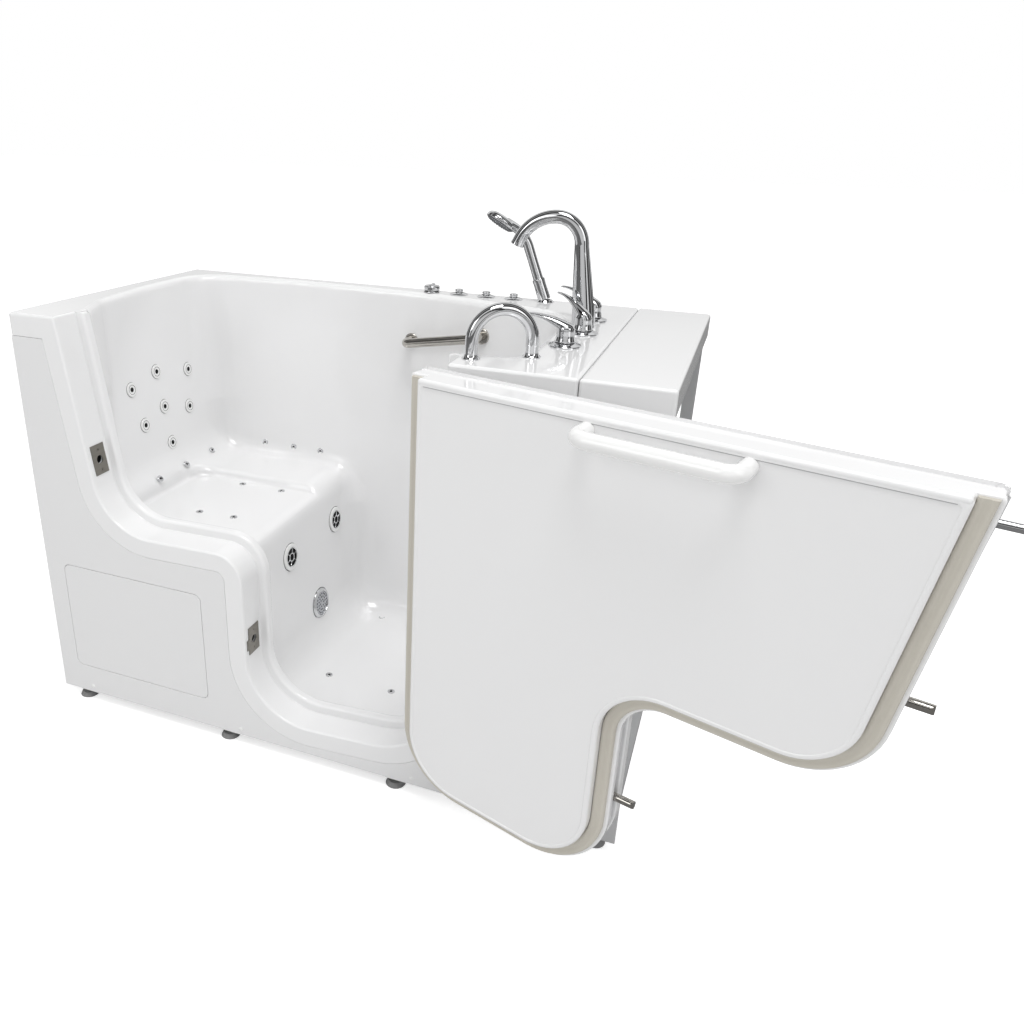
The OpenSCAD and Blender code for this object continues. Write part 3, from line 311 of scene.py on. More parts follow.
def drill(place, along, radius, length):
    """A cylinder centred on a place, to be cut out."""
    turn = Vector(along).to_track_quat("Z", "Y").to_euler()
    bpy.ops.mesh.primitive_cylinder_add(vertices=48, radius=radius / 1000, depth=length / 1000,
                                        location=at(*place), rotation=turn)
    return bpy.context.object


def arc(across, deep, radius, start, end, steps=5):
    angles = [math.radians(start + (end - start) * k / steps) for k in range(steps + 1)]
    return [(across + radius * math.cos(a), deep + radius * math.sin(a)) for a in angles]


def rounded_path(corners, insets, arcs=14):
    """A closed outline with round corners; the edge after corner i lies insets[i] to its left."""
    tips = [Vector(c[:2]) for c in corners]
    runs = [(tips[(i + 1) % len(tips)] - tip).normalized() for i, tip in enumerate(tips)]
    lefts = [Vector((-run.y, run.x)) for run in runs]
    path = []
    for i, (tip, corner) in enumerate(zip(tips, corners)):
        u, w = runs[i - 1], runs[i]
        turn = math.atan2(u.cross(w), u.dot(w))
        way = math.copysign(1, turn)
        shift = lefts[i] * insets[i] - lefts[i - 1] * insets[i - 1]
        tip = tip + lefts[i - 1] * insets[i - 1] + u * (shift.cross(w) / u.cross(w))
        radius = corner[2]
        if not radius:
            path.append(tip)
            continue
        if insets[i] == insets[i - 1]:
            radius = max(radius - way * insets[i], 1)
        start = tip - u * radius * math.tan(abs(turn) / 2)
        centre = start + lefts[i - 1] * radius * way
        for k in range(arcs + 1):
            spoke = (start - centre).copy()
            spoke.rotate(Matrix.Rotation(turn * k / arcs, 2))
            path.append(centre + spoke)
    return path


DOOR_LEFT, DOOR_STEP, DOOR_RIGHT, DOOR_SLOPE = 134, 597, 1092, 0.139


def jamb_x(height):
    """Where the slanted jamb above the seat lies at a height."""
    return DOOR_LEFT + DOOR_SLOPE * (TUB_H - height)


WING = (jamb_x(536), 536, 145)
LEG = [(DOOR_STEP, 545, 72), (DOOR_STEP, 93, 160), (DOOR_RIGHT, 123, 165)]


def doorway(inset, top, drop=0, edge=0):
    """The outline of the doorway, drawn in by inset, with its upper edge drop below top."""
    corners = [(jamb_x(top), top, edge), WING, *LEG, (DOOR_RIGHT, top, edge)]
    return rounded_path(corners, [inset] * 5 + [drop])


def upright(path, y):
    """An outline of the front view, set at a depth."""
    return [(u, y, v) for u, v in path]


def loft(name, rings):
    """A skin over closed rings of equal count, with a flat face on each end."""
    count = len(rings[0])
    faces = [(a * count + i, a * count + (i + 1) % count,
              (a + 1) * count + (i + 1) % count, (a + 1) * count + i)
             for a in range(len(rings) - 1) for i in range(count)]
    faces.append(tuple(reversed(range(count))))
    faces.append(tuple(range((len(rings) - 1) * count, len(rings) * count)))
    made = mesh_object(name, [p for ring in rings for p in ring], faces)
    in_edit_mode(made, outward)
    return made


apply(cavity, "DECIMATE", ratio=0.24)
in_edit_mode(cavity, outward)

RIM_LOW, THICK, SURROUND = 1013, 0.007, 48


def rim(name, left, right, fill):
    """The rounded band that a deck and its fascia are made of, cut level at its lower edge."""
    made = block(name, (left, 0, RIM_LOW - 33), (right, TUB_W, TUB_H), 7)
    in_edit_mode(made, lambda: bpy.ops.mesh.bisect(
        plane_co=at(0, 0, RIM_LOW), plane_no=UP, use_fill=fill, clear_inner=True))
    return made


shell = rim("tub_moulding", 0, TUB_L, True)
cut(shell, block("below_rim", (12, 12, 40), (1334, 750, 1030)), "UNION")
surround = [upright(doorway(-SURROUND, 1030), y) for y in (0, 20)]
cut(shell, loft("surround", surround), "UNION")
cut(shell, cavity)

DECK_CUT = TUB_H + 0.05
arris = arc(-6, 6, 6, -90, 0)
ridge = arc(3, 69, 3, 180, 90, 3) + arc(16, 80, 8, -90, 0) + arc(16, 90, 8, 0, 90)
rings = []
for inset, y in [(-6, -5)] + arris + ridge + [(0, 104), (0, 112)]:
    corners = [(60, 1110, 0), (60, DECK_CUT, 0), (DOOR_LEFT, DECK_CUT, 6), WING, *LEG,
               (DOOR_RIGHT, DECK_CUT, 6), (1150, DECK_CUT, 0), (1150, 1110, 0)]
    rings.append(upright(rounded_path(corners, [0, 0] + [inset] * 5 + [0, 0, 0]), y))
cut(shell, loft("doorway_tool", rings))

BOLT_Y = 38
BOLT_HOLES = [(jamb_x(715), BOLT_Y, 715), (DOOR_STEP, BOLT_Y, 306)]
DRAIN = (1050, 329.84)
BUTTONS = [(870, 724), (947, 724), (1023, 724)]
for place in BOLT_HOLES:
    cut(shell, drill(place, (1, 0, 0), 13, 84))
cut(shell, drill((*DRAIN, 70), UP, 24.3, 80))
for place in BUTTONS:
    cut(shell, drill((*place, 1062), UP, 13, 30))

outer = [(0, at(12, 0, 0).x), (0, at(1334, 0, 0).x), (1, at(0, 12, 0).y), (1, at(0, 750, 0).y),
         (2, 0.040), (2, RIM_LOW / 1000)]
spare = []
for face in shell.data.polygons:
    places = [shell.data.vertices[v].co for v in face.vertices]
    spare.append(any(all(abs(p[axis] - plane) < 2e-5 for p in places) for axis, plane in outer))


def delete_marked(piece, marks):
    choose(piece)
    bpy.ops.object.mode_set(mode="EDIT")
    bpy.ops.mesh.select_all(action="DESELECT")
    bpy.ops.object.mode_set(mode="OBJECT")
    piece.data.polygons.foreach_set("select", marks)
    bpy.ops.object.mode_set(mode="EDIT")
    bpy.ops.mesh.delete(type="FACE")
    bpy.ops.object.mode_set(mode="OBJECT")


delete_marked(shell, spare)
apply(shell, "SOLIDIFY", thickness=THICK, offset=-1)


def surface_group():
    """Slow tone shift, uneven polish and fine relief, as every moulded or rolled surface has."""
    group = bpy.data.node_groups.new("worked_surface", "ShaderNodeTree")
    face = group.interface
    for kind, names in (("Color", ("Color", "Tone")), ("Vector", ("Stretch",)),
                        ("Float", ("Patch", "Grain", "Polish", "Uneven", "Relief"))):
        for name in names:
            face.new_socket(name, in_out="INPUT", socket_type="NodeSocket" + kind)
    for name, kind in (("Color", "Color"), ("Roughness", "Float"), ("Normal", "Vector")):
        face.new_socket(name, in_out="OUTPUT", socket_type="NodeSocket" + kind)
    nodes = group.nodes
    given, result = nodes.new("NodeGroupInput"), nodes.new("NodeGroupOutput")
    place = nodes.new("ShaderNodeTexCoord")
    scaled = nodes.new("ShaderNodeVectorMath")
    scaled.operation = "MULTIPLY"
    wire(group, (place, "Object", scaled, 0), (given, "Stretch", scaled, 1))
    patch, grain = nodes.new("ShaderNodeTexNoise"), nodes.new("ShaderNodeTexNoise")
    for noise, size in ((patch, "Patch"), (grain, "Grain")):
        noise.inputs["Detail"].default_value = 3
        wire(group, (scaled, 0, noise, "Vector"), (given, size, noise, "Scale"))
    mix = nodes.new("ShaderNodeMix")
    mix.data_type = "RGBA"
    wire(group, (patch, "Fac", mix, "Factor"), (given, "Color", mix, "A"), (given, "Tone", mix, "B"))
    rough = nodes.new("ShaderNodeMath")
    rough.operation = "MULTIPLY_ADD"
    wire(group, (grain, "Fac", rough, 0), (given, "Uneven", rough, 1), (given, "Polish", rough, 2))
    bump = nodes.new("ShaderNodeBump")
    bump.inputs["Distance"].default_value = 0.001
    wire(group, (given, "Relief", bump, "Strength"), (grain, "Fac", bump, "Height"),
         (mix, "Result", result, "Color"), (rough, 0, result, "Roughness"),
         (bump, "Normal", result, "Normal"))
    return group


worked_surface = surface_group()


def surface(name, color, tone, patch, grain, polish, uneven, relief, metal=0.0, coat=0.0,
            stretch=(1, 1, 1)):
    """A material from the shared group. Patch and grain are how fine its two noises are, polish is
    its roughness, and uneven and relief are how far the grain moves roughness and surface."""
    made = bpy.data.materials.new(name)
    made.use_nodes = True
    tree = made.node_tree
    shade = tree.nodes["Principled BSDF"]
    shade.inputs["Metallic"].default_value = metal
    shade.inputs["Coat Weight"].default_value = coat
    shade.inputs["Coat Roughness"].default_value = 0.04
    group = tree.nodes.new("ShaderNodeGroup")
    group.node_tree = worked_surface
    values = ((*color, 1), (*tone, 1), stretch, patch, grain, polish, uneven, relief)
    for given, value in zip(group.inputs, values):
        given.default_value = value
    wire(tree, (group, "Color", shade, "Base Color"), (group, "Roughness", shade, "Roughness"),
         (group, "Normal", shade, "Normal"))
    return made


def fit(piece, body, slot, finish, *nodes, angle=38):
    """Gives a finished piece its material, its smoothing and its place among the bodies."""
    piece.data.materials.clear()
    piece.data.materials.append(finish)
    choose(piece)
    bpy.ops.object.shade_smooth_by_angle(angle=math.radians(angle), keep_sharp_edges=False)
    apply(piece, "WEIGHTED_NORMAL", keep_sharp=True, weight=80)
    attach(piece, body)
    if nodes:
        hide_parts(*nodes)


acrylic = surface("tub_acrylic", (0.89, 0.89, 0.89), (0.87, 0.87, 0.875), 1.6, 90.0, 0.10, 0.05,
                  0.012, coat=0.5)
fit(shell, "tub", "white_acrylic", acrylic, "tub_shell")

# ---- Skirt panels -------------------------------------------------------------------------------
# Flat acrylic sheets under the rim: one round the doorway, with a fixed service panel let into it
# and capped screws along its foot, and one under the extension. Their sawn edges are eased.

SKIRT_LOW, SKIRT_TOP, SHEET, SEAM, LEDGE = 28, 1011.8, 5, 1.2, 14
PAD_LOW, PAD_TOP = 111, 981.8
EXT_LEFT, TOTAL_L = TUB_L + SEAM, 1524
skirt = surface("skirt_acrylic", (0.83, 0.83, 0.83), (0.81, 0.81, 0.815), 1.2, 70.0, 0.16, 0.06,
                0.01, coat=0.3)

front = block("front_skirt", (0, 0, SKIRT_LOW), (TUB_L, SHEET, SKIRT_TOP), 1.2, 3)
gap = -SURROUND - SEAM
rings = [upright(doorway(inset, 1040), y)
         for inset, y in [(gap - 1.5, -3)] + arc(gap - 1.5, 1.5, 1.5, -90, 0, 3) + [(gap, 12)]]
cut(front, loft("doorway_in_skirt", rings))


def hatch_outline(inset):
    corners = [(57, 112, 18), (474, 112, 18), (474, 416, 18), (57, 416, 18)]
    return rounded_path(corners, [inset] * 4)


rings = [upright(hatch_outline(inset), y)
         for inset, y in [(-SEAM - 1.2, -3)] + arc(-SEAM - 1.2, 1.2, 1.2, -90, 0, 3) + [(-SEAM, 12)]]
cut(front, loft("hatch_hole", rings))
ledge = loft("hatch_ledge", [upright(hatch_outline(-LEDGE), y) for y in (SHEET - 0.5, 8)])
cut(ledge, loft("ledge_hole", [upright(hatch_outline(LEDGE), y) for y in (0, 12)]))
cut(front, ledge, "UNION")
for x in (12, 1309):
    cut(front, block("pad", (x, SHEET - 0.5, PAD_LOW), (x + 30, 10, PAD_TOP)), "UNION")
fit(front, "tub", "skirt_acrylic", skirt, "front_panel")

rings = [upright(hatch_outline(inset), y)
         for inset, y in [(0, SHEET)] + arc(1.2, 1.2, 1.2, 180, 270, 3)]
fit(loft("pump_hatch", rings), "tub", "skirt_acrylic", skirt, "access_hatch")

filler = surface("filler_acrylic", (0.58, 0.58, 0.585), (0.56, 0.56, 0.565), 1.4, 70.0, 0.16, 0.06,
                 0.01, coat=0.3)
side_front = block("filler_skirt", (EXT_LEFT, 0, SKIRT_LOW), (TOTAL_L, SHEET, SKIRT_TOP), 1.2, 3)
cut(side_front, block("filler_pad", (1487, SHEET - 0.5, PAD_LOW), (1517, 10, PAD_TOP)), "UNION")
fit(side_front, "tub", "filler_acrylic", filler, "extension_front")

filler_deck = rim("filler_deck", EXT_LEFT, TOTAL_L, False)
apply(filler_deck, "SOLIDIFY", thickness=THICK, offset=-1)
fit(filler_deck, "tub", "white_acrylic", acrylic, "extension_deck")

# ---- Door ---------------------------------------------------------------------------------------
# Two acrylic mouldings bonded back to back round a steel frame: the outer one carries the flange
# and the bolt channel, the inner one the lip, the raised panel and the seal. A cap closes their top.

DOOR_TOP, HINGE, DOOR_OPEN = 1062, (1076, -8), 165.3


def opened(x, y, z):
    """Where a point of the closed door lies once the door stands open as photographed."""
    turn = math.radians(DOOR_OPEN)
    run, rise = x - HINGE[0], y - HINGE[1]
    return (HINGE[0] + run * math.cos(turn) - rise * math.sin(turn),
            HINGE[1] + run * math.sin(turn) + rise * math.cos(turn), z)


def door_moulding(name, profile):
    """A vacuum-formed half of the door, open at the joint; each profile point of the rings is its
    inset, its depth and its drop."""
    rings = [[opened(u, y, v) for u, v in doorway(inset, DOOR_TOP, drop, 7)]
             for inset, y, drop in profile]
    count = len(rings[0])
    made = loft(name, rings)
    joint = [len(face.vertices) == count and
             abs(sum((made.data.vertices[v].co - at(*rings[0][0])).length for v in face.vertices)
                 - sum((at(*p) - at(*rings[0][0])).length for p in rings[0])) < 1e-6
             for face in made.data.polygons]
    delete_marked(made, joint)
    apply(made, "SOLIDIFY", thickness=THICK, offset=-1)
    return made


def cut_bolt_ways(piece):
    across = Vector(opened(1, 0, 0)) - Vector(opened(0, 0, 0))
    for x, y, z in BOLT_HOLES:
        cut(piece, drill(opened(x + 15, y, z), across, 11.1, 60))


outer_profile = ([(17, 50, 0), (17, 31, 0), (15.5, 27.5, 0), (12, 26, 0), (7, 26, 0)]
                 + [(i, y, max(i - 3, 0)) for i, y in arc(7, 22, 4, 90, 180)]
                 + [(i, y, i - 3) for i, y in arc(8, 6, 5, 180, 270)])
door_outer = door_moulding("door_outer_moulding", outer_profile)
cut_bolt_ways(door_outer)
fit(door_outer, "door", "white_acrylic", acrylic, "door_outer_shell")

inner_profile = ([(3, 50.3, 0), (3, 58, 0)]
                 + [(i, y, i - 3) for i, y in arc(6, 59, 3, 180, 90, 4)]
                 + [(30, 62, 3), (34, 62.8, 3), (36, 66, 3), (36, 82, 3)]
                 + [(i, y, i - 33) for i, y in arc(43, 83, 7, 180, 90)]
                 + [(45, 90, 12), (46, 89.6, 13), (46.8, 88.8, 13.8), (49, 88.6, 16)])
door_inner = door_moulding("door_inner_moulding", inner_profile)
fit(door_inner, "door", "white_acrylic", acrylic, "door_inner_shell")

cap_plan = [(141, 1.4), (1088, 1.4), (1088, 61), (1055, 61), (1055, 90.4), (174, 90.4), (174, 61),
            (141, 61)]
door_cap = loft("door_top_cap", [[opened(x, y, z) for x, y in cap_plan]
                                 for z in (DOOR_TOP - 13, DOOR_TOP + 0.3)])
apply(door_cap, "BEVEL", width=0.006, segments=6)
fit(door_cap, "door", "white_acrylic", acrylic)


def door_strip(name, section, top):
    """A strip along the door's outline, from a section of inset and depth."""
    rings = [[opened(u, y, v) for u, v in doorway(inset, top)] for inset, y in section]
    return loft(name, [list(row) for row in zip(*rings)])


seal = surface("silicone_seal", (0.62, 0.59, 0.52), (0.55, 0.52, 0.455), 5.0, 260.0, 0.42, 0.12,
               0.06)
seal_section = [(10.3, 62.1), (10.3, 68), (12, 70.6), (15, 71.6), (19, 71.6), (21, 70.2), (25, 70.2),
                (27, 71.6), (31, 71.6), (34, 70.6), (35.7, 68), (35.7, 62.1)]
seal_strip = door_strip("door_seal", seal_section, DOOR_TOP - 4)
fit(seal_strip, "door", "seal_rubber", seal, "door_gasket", angle=50)
# A thin mid-grey strip under the cap's front edge: a painted shadow line where the cap meets the raised
# panel.
joint_plan = [(190, 86), (1040, 86), (1040, 90.2), (190, 90.2)]
cap_seam_shadow = loft("door_cap_seam_shadow", [[opened(x, y, z) for x, y in joint_plan]
                                    for z in (DOOR_TOP - 13.8, DOOR_TOP - 12.7)])
painted_seam_shadow = surface("painted_seam_shadow", (0.44, 0.44, 0.45), (0.40, 0.40, 0.41), 8.0, 200.0, 0.5,
                       0.1, 0.04)
fit(cap_seam_shadow, "door", "seal_rubber", painted_seam_shadow)

# A grey liner on the inner wall of the bolt channel: painted shade standing in for the shadow in the
# recessed channel.
channel_shade = surface("painted_channel_shade", (0.40, 0.405, 0.415), (0.34, 0.345, 0.355), 12.0,
                       160.0, 0.34, 0.15, 0.04, metal=0.4, stretch=(1, 1, 10))
channel_section = [(18.5, 49.4), (16.3, 49.4), (16.3, 29.4), (18.5, 29.4)]
channel = door_strip("door_channel", channel_section, DOOR_TOP - 14)
cut_bolt_ways(channel)
fit(channel, "door", "stand_steel", channel_shade)


def bent_path(corners, radius, steps=10):
    """Points along straight runs whose corners are rounded to one radius."""
    corners = [Vector(c) for c in corners]
    path = [corners[0]]
    for before, corner, after in zip(corners, corners[1:], corners[2:]):
        u, w = (corner - before).normalized(), (after - corner).normalized()
        axis, turn = u.cross(w), u.angle(w)
        start = corner - u * radius * math.tan(turn / 2)
        centre = start + axis.cross(u).normalized() * radius
        for k in range(steps + 1):
            spoke = start - centre
            spoke.rotate(Matrix.Rotation(turn * k / steps, 3, axis))
            path.append(centre + spoke)
    return path + [corners[-1]]


def sweep(name, path, radii, sides=40):
    """A round bar along a path in millimetres, with a radius, or two, at each point."""
    path = [Vector(p) for p in path]
    rings, across = [], None
    for i, point in enumerate(path):
        run = (path[min(i + 1, len(path) - 1)] - path[max(i - 1, 0)]).normalized()
        if across is None:
            across = run.orthogonal() if abs(run.y) > 0.9 else run.cross((0, 1, 0))
            across = across.normalized()
        across = (across - run * across.dot(run)).normalized()
        other = run.cross(across)
        wide, thick = radii[i] if isinstance(radii[i], tuple) else (radii[i], radii[i])
        rings.append([tuple(point + other * wide * math.cos(a) + across * thick * math.sin(a))
                      for a in (2 * math.pi * k / sides for k in range(sides))])
    return loft(name, rings)


fitting = surface("fitting_plastic", (0.89, 0.89, 0.885), (0.87, 0.87, 0.865), 9.0, 160.0, 0.12,
                  0.05, 0.015, coat=0.4)
pull = bent_path([opened(714, 88, 1036), opened(714, 140, 1036), opened(454, 140, 1036),
                  opened(454, 88, 1036)], 24)
fit(sweep("door_pull", pull, [14.9] * len(pull)), "door", "white_fitting", fitting, "door_handle")

# ---- Jets and waste -----------------------------------------------------------------------------
# White water jets, chromed air buttons, suction grille, drain and overflow, all screwed through
# the shell from inside. Each is a turned or moulded flange on a barrel.

WALL_LEAN = 44 / 567
RISER_LEAN = (RISER_FOOT - RISER_TOP) / (SEAT_Z - FLOOR_Z)
chrome = surface("polished_chrome", (0.70, 0.70, 0.71), (0.64, 0.65, 0.66), 12.0, 300.0, 0.035,
                 0.05, 0.006, metal=1.0)
# Near-black, barely reflecting discs and cups set in holes: painted shade standing in for the dark
# inside the jet bores, the strike holes and the spout's outlet.
dark = surface("painted_bore_shade", (0.012, 0.012, 0.013), (0.02, 0.02, 0.02), 30.0, 300.0, 0.6, 0.2, 0.05)
dark.node_tree.nodes["Principled BSDF"].inputs["Specular IOR Level"].default_value = 0.08
# Near-black for thin rings where the jet flanges meet the shell, in the jet dishes and in the gap under
# each tap hub: painted shade of those creases.
crease_shade = surface("painted_crease_shade", (0.07, 0.07, 0.072), (0.05, 0.05, 0.05), 30.0, 300.0, 0.5, 0.2,
                     0.05)


def turned(name, profile, place, along, sides=40):
    """A piece spun from its profile of radius and height, set on a place and pointed along."""
    mesh = bpy.data.meshes.new(name)
    mesh.from_pydata([(r / 1000, 0, h / 1000) for r, h in profile],
                     [(i, i + 1) for i in range(len(profile) - 1)], [])
    made = bpy.data.objects.new(name, mesh)
    bpy.context.scene.collection.objects.link(made)
    in_edit_mode(made, lambda: bpy.ops.mesh.spin(steps=sides, angle=2 * math.pi, axis=(0, 0, 1)),
                 lambda: bpy.ops.mesh.remove_doubles(threshold=1e-5), outward)
    turn = Vector(along).to_track_quat("Z", "Y").to_matrix().to_4x4()
    made.data.transform(Matrix.Translation(at(*place)) @ turn)
    return made


def disc(name, radius, start, end, place, along, sides=40):
    return turned(name, [(0, start), (radius, start), (radius, end), (0, end)], place, along, sides)


def band(name, inner, outer, low, high, place, along, sides=40):
    """A plain ring between two radii and two heights."""
    profile = [(inner, low), (outer, low), (outer, high), (inner, high), (inner, low)]
    return turned(name, profile, place, along, sides)


def joined(name, pieces):
    choose(*pieces)
    bpy.ops.object.join()
    pieces[0].name = name
    return pieces[0]


def on_back(y, z):
    return (back_x(z), y, z), (1, 0, BACK_LEAN)


def on_riser(y, z):
    return (RISER_TOP + RISER_LEAN * (SEAT_Z - z), y, z), (1, 0, RISER_LEAN)


def share(part):
    """A depth on the width of the inside, 0 at the door side and 1 at the foot of the back wall."""
    return RIDGE_Y + part * (WALL_FOOT - RIDGE_Y)


def flange(radius, height, bore):
    """The profile of a shouldered ring round a countersunk bore."""
    rim = arc(radius - 1.2, height - 2.2, 1.2, 0, 90, 3)
    dish = [(radius * 0.74, height - 0.6), (radius * 0.66, height - 1.4), (bore + 2, height - 1.0)]
    return [(bore, -4)] + [(radius, -3), (radius, 0.4)] + rim + dish + [(bore, height - 2), (bore, -4)]


back_places = [(0.355, 813), (0.563, 836), (0.822, 810), (0.576, 734), (0.779, 705), (0.404, 706),
               (0.583, 626)]
backs, bores, lines = [], [], []
for part, z in back_places:
    place, along = on_back(share(part), z)
    backs.append(turned("back_jet", flange(19.6, 4.4, 6.6), place, along))
    backs.append(disc("jet_barrel", 9.8, -21, -3, place, along))
    bores.append(disc("back_bore", 6.5, 2.4, -2, place, along, 24))
    # A dark ring just beyond the flange's edge and a dark band in its dish: painted crease shade.
    lines.append(disc("back_line", 20.4, 0, 0.5, place, along))
    lines.append(band("back_groove", 12.2, 13.3, 2, 3.3, place, along))
fit(joined("back_jet_bodies", backs), "tub", "white_fitting", fitting, "back_jets")

rings, stars = [], []
for part in (0.83, 0.344):
    place, along = on_riser(share(part), 408)
    rings.append(turned("riser_jet", flange(37.6, 5.6, 26.5), place, along, 48))
    for k in range(6):
        turn = math.radians(60 * k + 20)
        spoke = Vector((0, math.cos(turn), math.sin(turn)))
        middle = Vector(place) + Vector(along).normalized() * 3.2
        stars.append(sweep("riser_spoke", [middle + spoke * 12, middle + spoke * 25], [1.9, 1.0], 8))
    stars.append(turned("riser_rim", [(25.4, 1.2), (28, 1.2), (28, 5), (26.8, 5.6), (25.4, 4.4),
                                      (25.4, 1.2)], place, along, 48))
    stars.append(band("riser_collar", 9.5, 12.5, 1.4, 4, place, along))
    rings.append(disc("riser_barrel", 13.8, -40, -3, place, (1, 0, 0)))
    bores.append(disc("riser_bore", 26.4, 1.4, -2, place, along, 32))
    lines.append(disc("riser_line", 38.8, 0, 0.5, place, along))
fit(joined("riser_jet_bodies", rings), "tub", "white_fitting", fitting, "riser_jets")
fit(joined("riser_jet_stars", stars), "tub", "chrome", chrome)

place, along = on_riser(share(0.572), 205)
cover = [turned("grille_disc", [(0, -4), (34.8, -4), (34.8, 3.6), (32, 4.6), (12, 5.6), (0, 5.8)],
                place, along, 64)]
cover_rim = turned("grille_rim", [(34.6, -3), (44.6, -3), (44.6, 1.4), (43.6, 3), (40, 6.4), (37.6, 7.2),
                                  (35.6, 6.4), (34.6, 4.4), (34.6, -3)], place, along, 64)
fit(cover_rim, "tub", "chrome", chrome)
normal = Vector(along).normalized()
upward = Vector((-along[2], 0, along[0])).normalized()
for ring_r, count in ((10, 6), (19, 12), (28, 18)):
    for k in range(count):
        turn = 2 * math.pi * k / count
        hole = Vector(place) + (Vector((0, 1, 0)) * math.cos(turn) + upward * math.sin(turn)) * ring_r
        cut(cover[0], drill(hole + normal * 6, normal, 2.7, 7))
cover.append(disc("suction_barrel", 21.8, -40, -4, place, (1, 0, 0)))
lines.append(disc("cover_line", 46, 0, 0.5, place, along))
plated = surface("plated_plastic", (0.50, 0.51, 0.53), (0.44, 0.45, 0.47), 14.0, 260.0, 0.2, 0.1,
                 0.02, metal=1.0)
fit(joined("suction_grille", cover), "tub", "chrome", plated, "suction_cover")


def air_button(place, along, reach):
    made = [turned("air_flange", [(3.6, -2), (9.8, -2), (9.8, 0.6)] + arc(8.6, 0.8, 1.2, 0, 90, 3)
                   + [(6.6, 2.1), (5, 1.3), (3.6, 1.2), (3.6, -2)], place, along, 32),
            disc("air_barrel", 5.8, -reach, -2, place, along, 24)]
    bores.append(disc("air_bore", 3.5, 1.0, -1, place, along, 20))
    return made


FILLET_X, FILLET_Z, DISHED_SEAT_Z, THROUGH = 149, 559.7, 515, 21
chips = []
for part in (0.375, 0.603, 0.842):
    chips += air_button((FILLET_X, share(part), FILLET_Z), (1, 0, 1), THROUGH)
for x, part in ((319, 0.652), (319, 0.259), (421, 0.272), (447, 0.652)):
    chips += air_button((x, share(part), DISHED_SEAT_Z), UP, THROUGH)
for x in (268, 369, 461):
    chips += air_button((x, 672 + WALL_LEAN * 66, 566), (0, -1, WALL_LEAN), THROUGH)
fit(joined("seat_air_buttons", chips), "tub", "chrome", chrome, "seat_air_jets")
chips = []
for x, part in ((708, 0.888), (696, 0.277), (882, 0.272)):
    chips += air_button((x, share(part), FLOOR_Z), UP, 7)
fit(joined("floor_air_buttons", chips), "tub", "chrome", chrome, "floor_air_jets")

strainer = [turned("drain_flange", [(18, 55), (23.8, 55), (23.8, 86.5), (34.6, 88), (34.6, 89.4),
                                    (32, 90.8), (21, 89.6), (18, 88), (18, 55)], (*DRAIN, 0), UP, 64)]
for k in range(4):
    turn = math.radians(45 * k)
    spoke = Vector((math.cos(turn), math.sin(turn), 0)) * 18.4
    strainer.append(sweep("strainer_bar", [Vector((*DRAIN, 86)) - spoke, Vector((*DRAIN, 86)) + spoke],
                          [1.5, 1.5], 10))
strainer.append(turned("strainer_eye", [(0, 84), (5, 84), (5, 87), (3, 88), (0, 88.2)],
                       (*DRAIN, 0), UP, 24))
fit(joined("drain_strainer", strainer), "tub", "chrome", chrome, "floor_drain")

right_lean = 55 / (TUB_H - FLOOR_Z)
overflow_at = (1160 + right_lean * (950 - FLOOR_Z), 350, 950)
over_dir = (-1, 0, right_lean)
overflow = turned("overflow_dome", [(0, -34), (14.8, -34), (14.8, 0), (35.6, 0), (35.6, 4)]
                  + arc(29, 4, 6.6, 0, 80, 5) + [(16, 11.4), (0, 11.8)], overflow_at, over_dir, 64)
fit(overflow, "tub", "chrome", chrome, "overflow_plate")
# Black discs in the jet and air-button bores: painted shade of the holes.
fit(joined("jet_bore_shade", bores), "tub", "pump_plastic", dark)
# Painted crease shade round the jets and the suction grille.
fit(joined("jet_edge_shade_rings", lines), "tub", "seal_rubber", crease_shade)

# ---- Strike plates ------------------------------------------------------------------------------
# Satin stainless plates on the jamb, each with the hole that a bolt enters, a cup behind it painted
# black as the shade in the hole, and two slotted screws. The lower one has a small tab beside it.

